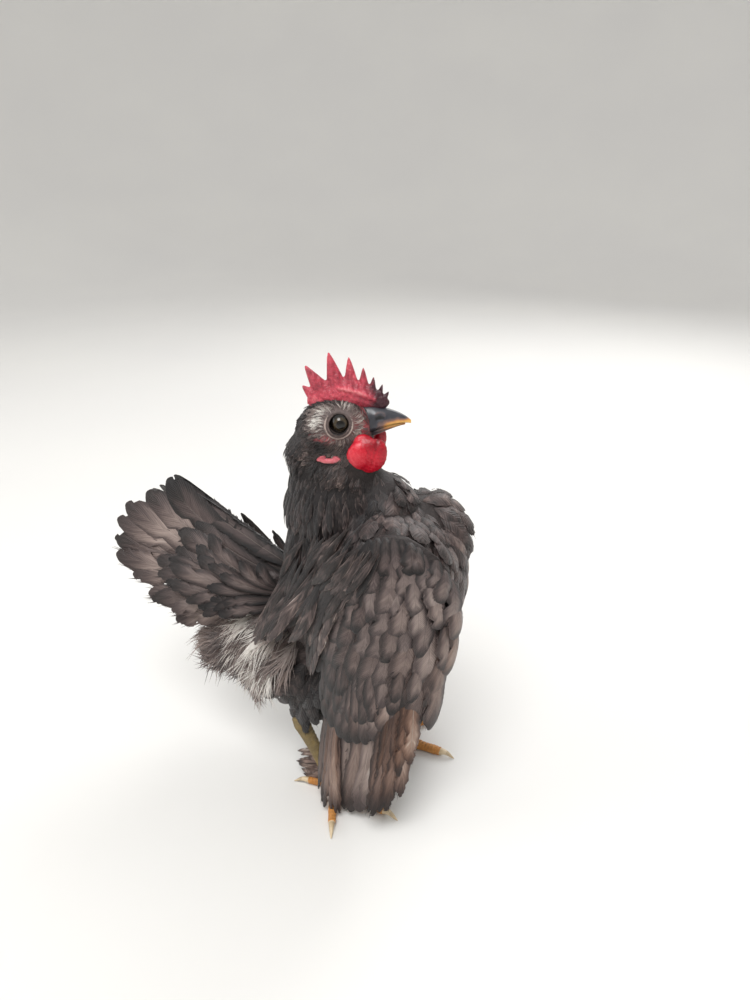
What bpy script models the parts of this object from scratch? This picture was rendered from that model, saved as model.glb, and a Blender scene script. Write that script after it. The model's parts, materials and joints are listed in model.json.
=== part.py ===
"""Life-size still model of a serama hen that stands upright and looks to its left.

The hen faces +X, its left side is +Y, and it stands on the floor at Z = 0. Sizes below are in
millimetres and are turned to metres as each mesh is made. The body is modelled whole as a blend of
rounded masses and is parted into head, neck and torso with thin cuts. Wings and tail carry their
feathers as overlapping vanes in tiers, rooted in a core that rests against the torso.
"""

import math
import random

import bmesh
import bpy
from mathutils import Matrix, Vector
from mathutils.bvhtree import BVHTree

MM = 0.001
GAP = 0.3
SEED = 11

# The middle of the hen's box, so that the origin lies on the floor under it.
BOX_MIDDLE = Vector((-42.0, -0.9, 0.0))

# The head turns about an upright axis through the top of the neck.
HEAD_PIVOT = Vector((-12.0, 0.0, 0.0))
HEAD_TURN = 24.0
EAR = (-12.0, 167.0)
EARLOBE = (-7.4, 162.2)
EYE = (-3.4, 176.4)
EYE_RADIUS = 5.0
EYE_DEPTH = 3.9
LID_RADIUS = 4.75
LID_THICKNESS = 1.0

# Ear cup, nostril and the places and radii of the small soft forms of the head, in its own axes.
# A place is the distance ahead, the distance out to the side and the height, before the pitch.
EAR_CUP = (2.5, 2.2, 2.7)
EAR_CUP_LIFT = 0.4
NOSTRIL = ((11.6, 4.5, 176.4), (1.8, 1.3, 0.9), 12)
EARLOBE_RADII = (5.0, 1.7, 2.1)
EARLOBE_SINK = 0.3
WATTLE_MAIN = ((8.0, 9.8, 163.0), (8.0, 2.9, 7.7), -12)
WATTLE_FOLDS = (
    ((4.4, 11.2, 163.4), (4.9, 2.4, 6.1), -15),
    ((6.5, 8.4, 168.0), (5.0, 2.6, 3.6), -20),
)

# Halves of the beak in the head's axes: distance ahead, upper and lower height, half width.
BEAK_UPPER = (
    (6.0, 181.8, 171.6, 5.2),
    (9.0, 181.9, 172.0, 4.9),
    (12.5, 181.4, 173.2, 4.2),
    (16.5, 180.3, 174.2, 3.4),
    (20.5, 178.9, 174.8, 2.5),
    (23.6, 177.2, 174.8, 1.5),
    (25.6, 175.6, 174.3, 0.5),
)
BEAK_LOWER = (
    (5.0, 171.2, 167.2, 4.6),
    (9.0, 171.6, 168.6, 4.2),
    (13.0, 172.9, 170.1, 3.4),
    (17.0, 173.9, 171.7, 2.6),
    (21.0, 174.4, 173.1, 1.6),
    (23.2, 174.3, 173.7, 0.6),
)

# Comb in the head's axes: points as (base middle, tip, base width), and the blade's sections.
COMB_POINTS = (
    ((-13.5, 187.5), (-18.2, 190.0), 6.5),
    ((-10.8, 190.5), (-16.6, 198.2), 7.5),
    ((-4.8, 192.5), (-7.2, 203.4), 7.4),
    ((1.6, 192.5), (0.7, 201.9), 6.2),
    ((6.4, 191.0), (6.3, 197.6), 5.2),
    ((10.0, 189.2), (10.4, 194.0), 4.4),
    ((13.0, 186.8), (15.4, 188.6), 4.4),
)
COMB_BLADE = (
    (-17.6, 184.2, 186.6, 0.5),
    (-16.0, 181.9, 188.4, 1.2),
    (-13.0, 181.4, 191.4, 1.8),
    (-8.0, 181.8, 194.2, 2.3),
    (-2.0, 182.0, 195.6, 2.5),
    (4.0, 181.4, 194.4, 2.5),
    (9.0, 180.8, 191.8, 2.4),
    (13.0, 180.4, 188.6, 2.1),
    (15.8, 180.9, 185.8, 1.4),
    (17.2, 182.2, 184.0, 0.5),
)
# Sections of a comb point: share of its length, share of its width, half thickness.
COMB_POINT_STATIONS = ((0, 0.62, 1.8), (0.5, 0.36, 1.3), (0.82, 0.18, 0.8), (1, 0.04, 0.35))
COMB_POINT_SINK = 3.0

# Rounded masses of the body: centre, radii and nose-up pitch in degrees.
BODY_MASSES = (
    ((10, 0, 108), (32, 30, 34), 0),
    ((13, 12, 120), (25.5, 19, 24.5), 0),
    ((13, -12, 119), (25, 19, 23.5), 0),
    ((3, 0, 80), (31, 29, 36), 0),
    ((-15, 0, 95), (26.5, 25, 32), 0),
    ((-37, 0, 57), (32, 24.5, 27), 22),
    ((-50, 0, 66), (25, 18, 21), 14),
    ((-64, 0, 59), (28, 20, 16), 24),
    ((-42, 0, 83), (18, 13, 19), 0),
)
NECK_MASSES = (
    ((-16.5, -1, 155), (19, 15, 16), 0),
    ((-22.0, -2, 149), (17, 14.5, 17), 0),
    ((-18.5, 0, 137), (23.5, 19, 24), 0),
    ((-18, 0, 117), (25.5, 22, 26), 0),
    ((0, 4, 140), (16, 15, 14.5), 0),
)
# In the head's own axes, before it is turned.
HEAD_MASSES = (
    ((-5.5, 0, 173.5), (16.0, 11.6, 12.0), 8),
    ((-10.5, 0, 163), (14.6, 12.6, 13.0), -20),
    ((4.2, 0, 172), (8.0, 7.6, 8.6), 0),
    ((-14, 0, 161), (13.0, 12.6, 13.0), 0),
)
VOXEL = 1.6
BLEND_STEPS = 18

# Planes of the thin cuts: a point in the cut and its normal, which points at the upper piece.
HEAD_CUT = ((-15, 0, 155.5), (-0.22, 0, 1))
NECK_CUT = ((-43, 0, 106.5), (-0.52, 0, 0.854))

# How finely each node of flesh is faceted, as a count of triangles over the whole body.
FLESH_FACES = {"head": 3100, "neck": 1900, "torso": 1500}

# Wing: its outer surface is an upright half oval round the body, longer to the rear.
WING_MIDDLE_X = 13.0
WING_REACH_REAR = 42.0
WING_REACH_FRONT = 35.5
WING_REACH_SIDE = 38.0
LEFT_WING_SHIFT = -9.0
LEFT_WING_HEIGHT = 0.965
VANE_THICK = 0.62
# A vane's outline: share of its length, share of its width.
VANE_STATIONS = ((0.0, 0.3), (0.4, 0.88), (0.8, 0.98), (1.0, 0.22))

# Sections of the wing's core: height, its span ahead, thickness, and how far the surface sinks.
WING_CORE = (
    (140.5, (16, 30), 4.0, 8.5),
    (138.0, (9, 36), 7.0, 5.2),
    (134.0, (2, 40), 8.0, 2.2),
    (127.0, (-4, 43), 8.0, 0.3),
    (114.0, (-9, 45), 8.0, 0),
    (98.0, (-11, 45), 7.5, 0),
    (84.0, (-10, 41), 6.0, 0),
    (73.0, (-8, 35), 4.0, 0.6),
)
CORE_STEPS = 6

# Feathers of the wing in tiers, lowest first. The tips of a tier lie on an arc through three
# places (distance ahead, height), and its roots on a line of which both ends and the height are
# given. Then come the width, the lift of root and tip off the core, and the turn about the shaft.
WING_TIERS = {
    "primaries": (7, (-14, 13), (4.0, 1.8), (18, 20), (-9, 30, 84), 11.2, (-3.2, -1.2), 17),
    "flare": (4, (21, 23), (26.5, 27), (31, 42), (24, 33, 80), 9.0, (-2.6, 0.6), 14),
    "secondaries": (7, (-10, 57), (8, 52.5), (26.5, 71), (-9, 31, 100), 11.6, (-2.4, 1.6), 13),
    "front": (5, (29, 72), (36, 57), (42.4, 80), (31, 44, 114), 10.0, (-2.2, 1.0), 14),
    "greater": (8, (-9, 77), (14, 76), (41, 90), (-7, 42, 112), 10.5, (-2.2, 2.4), 12),
    "median": (7, (-8, 95), (17, 97), (43, 104), (-6, 43, 121), 11.2, (-2.2, 2.6), 11),
    "lesser_low": (6, (-4, 109), (20, 111), (42, 117), (-3, 42, 129), 10.0, (-2.2, 2.6), 11),
    "lesser_mid": (5, (2, 121), (21, 122), (39, 126), (4, 38, 136), 10.8, (-2.6, 2.4), 11),
    "lesser_top": (4, (10, 131), (22, 131), (33, 132.5), (12, 31, 141.5), 9.5, (-6.0, 1.6), 11),
}
# Tiers of short feathers are made without a shaft line.
PLAIN_TIERS = ("flare", "front", "median", "lesser_low", "lesser_mid", "lesser_top")

# Tail: each half has a core, which is parted from the other's down the middle.
TAIL_CORE = ((-47, 0, 90.6), (20, 11.6, 18), 12)
# Tail feathers of the right side in tiers. Tips lie on an arc through three places, top first.
# Roots: distance out, height of the top and the lowest. Then width, outward bow and turn. The
# clearance is how far the tail stays off the body.
TAIL_ROOT_X = -43.5
TAIL_CLEARANCE = 0.9
TAIL_TIERS = {
    "main": (8, (-105, -3, 135), (-130, -17, 107), (-89, -26, 76), (2.5, 100, 80), 17.0, 1.2, 12),
    "coverts": (5, (-90, -10, 126), (-87, -25, 104), (-67, -28, 82), (4.5, 96, 81), 14.5, 1.8, 12),
    "small": (4, (-68, -14, 118), (-70, -25, 104), (-57, -28, 87), (6.0, 93, 82), 12.5, 2.4, 12),
}

# Legs, right side. The left leg stands a little forward, with its foot turned in by some degrees.
HOCK = Vector((-28.5, -20, 31))
ANKLE = Vector((-15, -21, 8.5))
FOOT = Vector((-11.5, -21.5, 3.2))
LEFT_STEP = Vector((10.3, -1.1, 0))
LEFT_FOOT_TURN = 12
# Toe: yaw from straight ahead to the outer side, length without claw, radius at root and end.
TOES = {
    "middle": (11, 29, 2.8, 2.1),
    "outer": (66, 24, 2.5, 1.85),
    "inner": (-38, 20, 2.5, 1.85),
    "hind": (168, 13, 2.2, 1.7),
}
CLAW_LENGTH = 8.0
TOE_HEIGHT = 2.2
# Shank from above the hock to the ankle: share of the way, radius.
SHANK_STATIONS = ((-0.14, 2.2), (0.0, 3.9), (0.16, 3.4), (0.5, 2.9), (0.84, 3.0), (1.0, 3.1))
# Thigh, right side: place and radii across and along the body.
THIGH_STATIONS = (
    ((-4, -15, 66), (11, 15)),
    ((-14, -17, 54), (11, 13)),
    ((-23, -18, 43), (8.5, 10)),
    ((-31, -19, 34), (5.2, 6)),
)
# Pad under the ankle: distance ahead, height over the foot's middle, radii.
PAD_STATIONS = ((-4, -0.9, (2.2, 2.2)), (0, -0.6, (3.6, 2.7)), (4, -0.9, (2.6, 2.2)))

COLOURS = {
    "feather_black": ((0.035, 0.033, 0.036), 0.55),
    "feather_grey": ((0.085, 0.072, 0.072), 0.6),
    "face_skin": ((0.16, 0.12, 0.11), 0.6),
    "comb_red": ((0.56, 0.06, 0.07), 0.45),
    "wattle_red": ((0.62, 0.012, 0.03), 0.35),
    "beak_horn": ((0.05, 0.05, 0.06), 0.35),
    "eye": ((0.02, 0.012, 0.008), 0.08),
    "leg_scale": ((0.48, 0.27, 0.07), 0.5),
    "claw_horn": ((0.55, 0.44, 0.3), 0.4),
}


def clear_scene():
    for obj in list(bpy.data.objects):
        bpy.data.objects.remove(obj)


def material(name):
    """The Principled material of one finish."""
    found = bpy.data.materials.get(name)
    if found:
        return found
    colour, roughness = COLOURS[name]
    made = bpy.data.materials.new(name)
    made.use_nodes = True
    shader = made.node_tree.nodes["Principled BSDF"]
    shader.inputs["Base Color"].default_value = (*colour, 1)
    shader.inputs["Roughness"].default_value = roughness
    shader.inputs["Metallic"].default_value = 0
    return made


def link(name, mesh, finish=None):
    obj = bpy.data.objects.new(name, mesh)
    bpy.context.scene.collection.objects.link(obj)
    if finish:
        mesh.materials.clear()
        mesh.materials.append(material(finish))
    return obj


def closed_piece(points, faces, name="piece"):
    """An object from points in millimetres and faces of one closed surface, turned to face out."""
    mesh = bpy.data.meshes.new(name)
    mesh.from_pydata([tuple((Vector(p) - BOX_MIDDLE) * MM) for p in points], [], faces)
    bm = bmesh.new()
    bm.from_mesh(mesh)
    bmesh.ops.recalc_face_normals(bm, faces=bm.faces)
    bm.to_mesh(mesh)
    bm.free()
    return link(name, mesh)


def ring_loft(rings, name="piece"):
    """A closed solid through rings of equal point counts, with a flat cap at each end."""
    count = len(rings[0])
    points = [p for ring in rings for p in ring]
    faces = [tuple(range(count)), tuple(range(len(points) - count, len(points)))]
    for r in range(len(rings) - 1):
        for i in range(count):
            a, b = r * count + i, r * count + (i + 1) % count
            faces.append((a, b, b + count, a + count))
    return closed_piece(points, faces, name)


def frame_of(along, up=Vector((0, 0, 1))):
    """Side and up directions square to a path."""
    along = Vector(along).normalized()
    side = along.cross(up)
    if side.length < 1e-6:
        side = Vector((0, 1, 0))
    side.normalize()
    return side, side.cross(along).normalized()


def tube(path, radii, sides=8, flat_floor=False, name="piece"):
    """A solid along a path of points with a radius, or (side, up) radii, at each."""
    path = [Vector(p) for p in path]
    rings = []
    for k, centre in enumerate(path):
        along = path[min(k + 1, len(path) - 1)] - path[max(k - 1, 0)]
        side, up = frame_of(along)
        wide, tall = radii[k] if isinstance(radii[k], tuple) else (radii[k], radii[k])
        ring = []
        for i in range(sides):
            angle = math.tau * (i + 0.5) / sides
            p = centre + side * wide * math.cos(angle) + up * tall * math.sin(angle)
            if flat_floor:
                p.z = max(p.z, 0.0)
            ring.append(p)
        rings.append(ring)
    return ring_loft(rings, name)


def ellipsoid(centre, radii, pitch=0, turn=None, level=3, name="piece"):
    """A rounded mass, tipped nose up by its pitch, and turned with the head where turn is set."""
    bm = bmesh.new()
    bmesh.ops.create_icosphere(bm, subdivisions=level, radius=1)
    shape = Matrix.Diagonal((*radii, 1))
    shape = Matrix.Rotation(math.radians(-pitch), 4, "Y") @ shape
    shape = Matrix.Translation(centre) @ shape
    if turn is not None:
        shape = turn @ shape
    points = [shape @ v.co for v in bm.verts]
    faces = [[v.index for v in f.verts] for f in bm.faces]
    bm.free()
    return closed_piece(points, faces, name)


def head_matrix():
    """From the head's own axes to the hen's."""
    return Matrix.Translation(HEAD_PIVOT) @ Matrix.Rotation(math.radians(HEAD_TURN), 4, "Z")


def in_head(x, y, z):
    return head_matrix() @ Vector((x, y, z))


def joined(pieces, name):
    """One object that holds the loose shells of several pieces, which are removed."""
    bm = bmesh.new()
    for piece in pieces:
        bm.from_mesh(piece.data)
        bpy.data.objects.remove(piece)
    mesh = bpy.data.meshes.new(name)
    bm.to_mesh(mesh)
    bm.free()
    return link(name, mesh)


def evaluated(obj):
    """Gives the object the mesh that its modifiers make, and drops the modifiers."""
    graph = bpy.context.evaluated_depsgraph_get()
    mesh = bpy.data.meshes.new_from_object(obj.evaluated_get(graph))
    obj.modifiers.clear()
    obj.data = mesh
    return obj


def largest_surface(obj):
    """Keeps only the largest closed surface, which fills sealed hollows and drops scraps."""
    bm = bmesh.new()
    bm.from_mesh(obj.data)
    unseen = set(bm.faces)
    shells = []
    while unseen:
        stack = [unseen.pop()]
        shell = set(stack)
        while stack:
            face = stack.pop()
            for edge in face.edges:
                for other in edge.link_faces:
                    if other in unseen:
                        unseen.discard(other)
                        shell.add(other)
                        stack.append(other)
        shells.append(shell)
    shells.sort(key=lambda shell: sum(f.calc_area() for f in shell))
    drop = [f for shell in shells[:-1] for f in shell]
    bmesh.ops.delete(bm, geom=drop, context="FACES")
    bm.to_mesh(obj.data)
    bm.free()
    return obj


def boolean(obj, operation, others, solver="EXACT"):
    """Joins pieces to an object, or cuts them from it, and removes them."""
    group = bpy.data.collections.new("operands")
    bpy.context.scene.collection.children.link(group)
    for other in others:
        group.objects.link(other)
    modifier = obj.modifiers.new(operation, "BOOLEAN")
    modifier.operation = operation
    modifier.solver = solver
    modifier.operand_type = "COLLECTION"
    modifier.collection = group
    evaluated(obj)
    for other in others:
        bpy.data.objects.remove(other)
    bpy.data.collections.remove(group)
    return largest_surface(obj)


def swollen(obj, by=GAP):
    """A copy of an object that stands off its surface by a gap."""
    mesh = obj.data.copy()
    bm = bmesh.new()
    bm.from_mesh(mesh)
    bm.normal_update()
    moves = [v.normal * by * MM for v in bm.verts]
    for v, move in zip(bm.verts, moves):
        v.co += move
    bm.to_mesh(mesh)
    bm.free()
    return link("swollen", mesh)


def cut_clear(obj, *carriers, by=0.45, solver="EXACT"):
    """Cuts an object back so that it meets each carrier face to face across a gap."""
    for carrier in carriers:
        boolean(obj, "DIFFERENCE", [swollen(carrier, by)], solver)
    return obj


def thin_cut(obj, plane, keep_upper):
    """Keeps one side of a plane, half a gap off it, and closes the cut with a flat face."""
    point, normal = Vector(plane[0]), Vector(plane[1]).normalized()
    outward = -normal if keep_upper else normal
    point = (point - outward * GAP / 2 - BOX_MIDDLE) * MM
    bm = bmesh.new()
    bm.from_mesh(obj.data)
    bmesh.ops.bisect_plane(
        bm,
        geom=bm.verts[:] + bm.edges[:] + bm.faces[:],
        plane_co=point,
        plane_no=outward,
        clear_outer=True,
    )
    rim = [e for e in bm.edges if e.is_boundary]
    bmesh.ops.holes_fill(bm, edges=rim)
    bmesh.ops.recalc_face_normals(bm, faces=bm.faces)
    bm.to_mesh(obj.data)
    bm.free()
    return largest_surface(obj)


def thinned(obj, faces):
    """Reduces a mesh of quads to about a count of triangles."""
    modifier = obj.modifiers.new("thin", "DECIMATE")
    modifier.ratio = faces / (2 * len(obj.data.polygons))
    return evaluated(obj)


def flesh():
    """The whole body without wings, tail, legs and head furnishings, as one blended surface."""
    pieces = [ellipsoid(*mass) for mass in BODY_MASSES + NECK_MASSES]
    pieces += [ellipsoid(*mass, turn=head_matrix()) for mass in HEAD_MASSES]
    body = joined(pieces, "flesh")
    remesh = body.modifiers.new("blend", "REMESH")
    remesh.mode = "VOXEL"
    remesh.voxel_size = VOXEL * MM
    smooth = body.modifiers.new("soften", "SMOOTH")
    smooth.factor = 0.5
    smooth.iterations = BLEND_STEPS
    return evaluated(body)


def flesh_node(body, name, finish, cuts):
    """One node of the parted body: thinned, then cut by its planes."""
    obj = link(name, body.data.copy(), finish)
    thinned(obj, FLESH_FACES[name])
    for plane, keep_upper in cuts:
        thin_cut(obj, plane, keep_upper)
    return obj


def smooth(obj, angle=35):
    obj.data.shade_smooth()
    obj.data.set_sharp_from_angle(angle=math.radians(angle))
    return obj


def skin_out(obj, ahead, height, side):
    """How far out the head's skin lies on one side, in the head's axes."""
    tree = BVHTree.FromObject(obj, bpy.context.evaluated_depsgraph_get())
    start = (in_head(ahead, side * 40, height) - BOX_MIDDLE) * MM
    target = (in_head(ahead, 0, height) - BOX_MIDDLE) * MM
    hit = tree.ray_cast(start, (target - start).normalized())[0]
    return 40 - (hit - start).length / MM


def lid_ring(head, side):
    """The raised rim of the lids, which follows the skin round one eye."""
    steps, around = 14, 6
    points, faces = [], []
    for i in range(steps):
        a = math.tau * i / steps
        x, z = LID_RADIUS * 1.06 * math.cos(a), LID_RADIUS * 0.92 * math.sin(a)
        out = skin_out(head, EYE[0] + x, EYE[1] + z, side) - 0.15
        for j in range(around):
            b = math.tau * j / around
            wide = 1 + LID_THICKNESS * math.cos(b) / LID_RADIUS
            place = side * (out + LID_THICKNESS * math.sin(b))
            points.append(in_head(EYE[0] + x * wide, place, EYE[1] + z * wide))
            k, m = (i + 1) % steps, (j + 1) % around
            faces.append((i * around + j, i * around + m, k * around + m, k * around + j))
    return closed_piece(points, faces, "lid")


def sided(form, side, level=2, name="piece"):
    """A rounded form of the head, given for its left side, on one side of it."""
    (ahead, out, height), radii, pitch = form
    return ellipsoid((ahead, side * out, height), radii, pitch, head_matrix(), level, name)


def eye_ball(side, out, radius, name="eye"):
    centre = (EYE[0], side * (out - EYE_DEPTH), EYE[1])
    return ellipsoid(centre, (radius,) * 3, 0, head_matrix(), 2, name)


def make_head(body):
    """Skull, face and cheeks with the lids, eye sockets and ear cups, and the two eyes."""
    head = flesh_node(body, "head", "face_skin", [(HEAD_CUT, True)])
    eye_out = {side: skin_out(head, *EYE, side) for side in (1, -1)}
    ear_out = {side: skin_out(head, *EAR, side) for side in (1, -1)}
    boolean(head, "UNION", [lid_ring(head, side) for side in (1, -1)])
    for name, side in (("eye_left", 1), ("eye_right", -1)):
        boolean(head, "DIFFERENCE", [eye_ball(side, eye_out[side], EYE_RADIUS + GAP)])
        ear = (EAR[0], side * (ear_out[side] + EAR_CUP_LIFT), EAR[1])
        boolean(head, "DIFFERENCE", [ellipsoid(ear, EAR_CUP, 0, head_matrix(), 2)])
        eye = eye_ball(side, eye_out[side], EYE_RADIUS, name)
        eye.data.materials.append(material("eye"))
        smooth(eye)
    return head


def beak_half(profile, upper, name):
    """Loft of arched sections: flat at the mouth line, round at the ridge or keel."""
    rings = []
    for ahead, high, low, half in profile:
        ring = []
        edge, crown = (low, high) if upper else (high, low)
        for i in range(8):
            a = math.pi * i / 7
            ring.append(in_head(ahead, half * math.cos(a), edge + (crown - edge) * math.sin(a)))
        rings.append(ring)
    return ring_loft(rings, name)


def make_beak(head):
    upper = beak_half(BEAK_UPPER, True, "beak_upper")
    upper.data.materials.append(material("beak_horn"))
    for side in (1, -1):
        boolean(upper, "DIFFERENCE", [sided(NOSTRIL, side, 1)])
    lower = beak_half(BEAK_LOWER, False, "beak_lower")
    lower.data.materials.append(material("beak_horn"))
    cut_clear(upper, head)
    cut_clear(lower, head, upper, by=0.3)
    smooth(upper, 50)
    smooth(lower, 50)


def make_comb(head, upper):
    """Upright single comb: a thick blade that carries seven points."""
    rings = []
    for x, low, high, half in COMB_BLADE:
        middle, tall = (low + high) / 2, (high - low) / 2
        ring = []
        for i in range(8):
            a = math.tau * (i + 0.5) / 8
            ring.append(in_head(x, half * math.cos(a), middle + tall * math.sin(a)))
        rings.append(ring)
    comb = ring_loft(rings, "comb")
    comb.data.materials.append(material("comb_red"))
    points = []
    for (bx, bz), (tx, tz), width in COMB_POINTS:
        base, tip = Vector((bx, 0, bz)), Vector((tx, 0, tz))
        along = (tip - base).normalized()
        across = Vector((-along.z, 0, along.x))
        base -= along * COMB_POINT_SINK
        sections = []
        for t, wide, thick in COMB_POINT_STATIONS:
            middle = base.lerp(tip, t)
            section = []
            for i in range(6):
                a = math.tau * i / 6
                p = middle + across * width * wide * math.cos(a)
                p.y = thick * math.sin(a)
                section.append(in_head(*p))
            sections.append(section)
        points.append(ring_loft(sections))
    boolean(comb, "UNION", points)
    cut_clear(comb, head, upper)
    return smooth(comb, 50)


def make_wattles(carriers):
    """Each wattle is a rounded hanging lobe with a smaller fold at its front and its root."""
    for name, side in (("wattle_left", 1), ("wattle_right", -1)):
        main = sided(WATTLE_MAIN, side, name=name)
        main.data.materials.append(material("wattle_red"))
        boolean(main, "UNION", [sided(fold, side) for fold in WATTLE_FOLDS])
        cut_clear(main, *carriers)
        smooth(main, 50)


def make_earlobes(head):
    """A small bare lobe hangs under each ear cup."""
    for name, side in (("earlobe_left", 1), ("earlobe_right", -1)):
        out = skin_out(head, *EARLOBE, side) - EARLOBE_SINK
        centre = (EARLOBE[0], side * out, EARLOBE[1])
        lobe = ellipsoid(centre, EARLOBE_RADII, 4, head_matrix(), 2, name)
        lobe.data.materials.append(material("wattle_red"))
        cut_clear(lobe, head)
        smooth(lobe, 50)


def vane(root, tip, face, width, bow=0.0, shingle=0.0, cup=0.1, plain=False):
    """A feather: a thin closed vane from root to tip, whose outer side looks along face.

    It bows outward by bow at its middle, turns about its shaft by the shingle angle, and its edges
    fall by cup times its half width. Both faces are split into triangles alike. A plain vane has no
    shaft line.
    """
    root, tip = Vector(root), Vector(tip)
    along = (tip - root).normalized()
    out = (Vector(face) - along * along.dot(face)).normalized()
    out = Matrix.Rotation(math.radians(shingle), 3, along) @ out
    side = along.cross(out)
    places = (-1, 1) if plain else (-1, 0, 1)
    points = []
    for t, wide in VANE_STATIONS:
        middle = root.lerp(tip, t) + out * bow * 4 * t * (1 - t)
        half = width * wide / 2
        top = [middle + side * half * p - out * half * cup * abs(p) for p in places]
        points += [p + out * VANE_THICK / 2 for p in top]
        points += [p - out * VANE_THICK / 2 for p in top[::-1]]
    row = 2 * len(places)
    faces = []
    for k in range(len(VANE_STATIONS) - 1):
        a, b = row * k, row * (k + 1)
        for i in range(len(places) - 1):
            high, low = (i, i + 1), (row - 1 - i, row - 2 - i)
            for left, right in (high, low):
                faces.append((a + left, a + right, b + right))
                faces.append((a + left, b + right, b + left))
        for high, low in ((len(places) - 1, len(places)), (row - 1, 0)):
            faces.append((a + high, a + low, b + low, b + high))
    last = row * (len(VANE_STATIONS) - 1)
    for base in (0, last):
        for i in range(len(places) - 1):
            faces.append((base + i, base + i + 1, base + row - 2 - i, base + row - 1 - i))
    return closed_piece(points, faces, "vane")


def wing_place(ahead, height, lift, side):
    """Point and outward direction on the wing's outer surface, lifted off it."""
    reach = WING_REACH_REAR if ahead < WING_MIDDLE_X else WING_REACH_FRONT
    share = max(-0.96, min(0.96, (ahead - WING_MIDDLE_X) / reach))
    y = WING_REACH_SIDE * math.sqrt(1 - share * share)
    out = Vector((share / reach, y / WING_REACH_SIDE ** 2, 0)).normalized()
    p = Vector((WING_MIDDLE_X + reach * share, y, height)) + out * lift
    if side > 0:
        p = Vector((p.x + LEFT_WING_SHIFT, p.y, p.z * LEFT_WING_HEIGHT))
    return Vector((p.x, side * p.y, p.z)), Vector((out.x, side * out.y, 0))


def wing_core(side, name):
    """Shoulder and forearm under the small feathers, as a shell that wraps the body."""
    rings = []
    for height, (rear, front), thick, sink in WING_CORE:
        shares = [i / (CORE_STEPS - 1) for i in range(CORE_STEPS)]
        places = [rear + (front - rear) * (0.5 - 0.5 * math.cos(math.pi * t)) for t in shares]
        depths = [sink + thick * (0.3 + 0.7 * math.sin(math.pi * t)) for t in shares]
        outer = [wing_place(x, height, -sink, side)[0] for x in places]
        inner = [wing_place(x, height, -d, side)[0] for x, d in zip(places, depths)]
        rings.append(outer + inner[::-1])
    return ring_loft(rings, name)


def along_arc(first, middle, last, t):
    """A point of the arc that passes through three places at 0, a half and 1."""
    first, middle, last = Vector(first), Vector(middle), Vector(last)
    pull = middle * 2 - (first + last) / 2
    return first * (1 - t) ** 2 + pull * 2 * t * (1 - t) + last * t * t


def wing_feathers(side, rng):
    """Every tier of the wing. Each feather overlaps the next one towards the rear."""
    made = []
    for tier, values in WING_TIERS.items():
        count, rear, middle, front, (root_rear, root_front, root_height), width, lift, turn = values
        for i in range(count):
            t = i / (count - 1)
            stray = rng.uniform(-1, 1)
            ahead, low = along_arc(rear, middle, front, t)
            high = root_height - 4 * (2 * t - 1) ** 2
            root, _ = wing_place(root_rear + (root_front - root_rear) * t, high, lift[0], side)
            tip, face = wing_place(ahead, low, lift[1] + 0.25 * stray, side)
            wide = width * (1 + 0.05 * stray)
            made.append(vane(root, tip, face, wide, 1.0, side * turn, 0.04, tier in PLAIN_TIERS))
    return made


def make_wing(name, side, carriers, rng):
    wing = wing_core(side, name)
    wing.data.materials.append(material("feather_grey"))
    boolean(wing, "UNION", wing_feathers(side, rng), solver="MANIFOLD")
    cut_clear(wing, *carriers, solver="MANIFOLD")
    return smooth(wing, 30)


def tail_row(tier, side):
    """One tier of tail feathers on one side."""
    count, top, middle, low, (root_out, root_top, root_low), width, bow, turn = TAIL_TIERS[tier]
    made = []
    for i in range(count):
        t = i / (count - 1)
        tip = along_arc(top, middle, low, t)
        tip.y *= -side
        root = Vector((TAIL_ROOT_X, side * root_out, root_top + (root_low - root_top) * t))
        face = Vector((0, side, 0.25))
        wide = width * (1 - 0.15 * t)
        made.append(vane(root, tip, face, wide, bow, -side * turn, 0.04, tier != "main"))
    return made


def make_tail_half(name, side, carriers):
    """Half of a tented fan: its top feathers lie over the next, and coverts lie over its roots."""
    half = ellipsoid(*TAIL_CORE, level=2, name=name)
    half.data.materials.append(material("feather_grey"))
    vanes = [v for tier in TAIL_TIERS for v in tail_row(tier, side)]
    boolean(half, "UNION", vanes, solver="MANIFOLD")
    thin_cut(half, ((0, 0, 0), (0, 1, 0)), side > 0)
    cut_clear(half, *carriers, by=TAIL_CLEARANCE, solver="MANIFOLD")
    return smooth(half, 30)


def mirrored(p, side):
    """A point of the right side, or its mirror image a step forward for the left."""
    p = Vector(p)
    if side > 0:
        p = Vector((p.x, -p.y, p.z)) + LEFT_STEP * (1 - min(1.0, p.z / 60))
    return p


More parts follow.
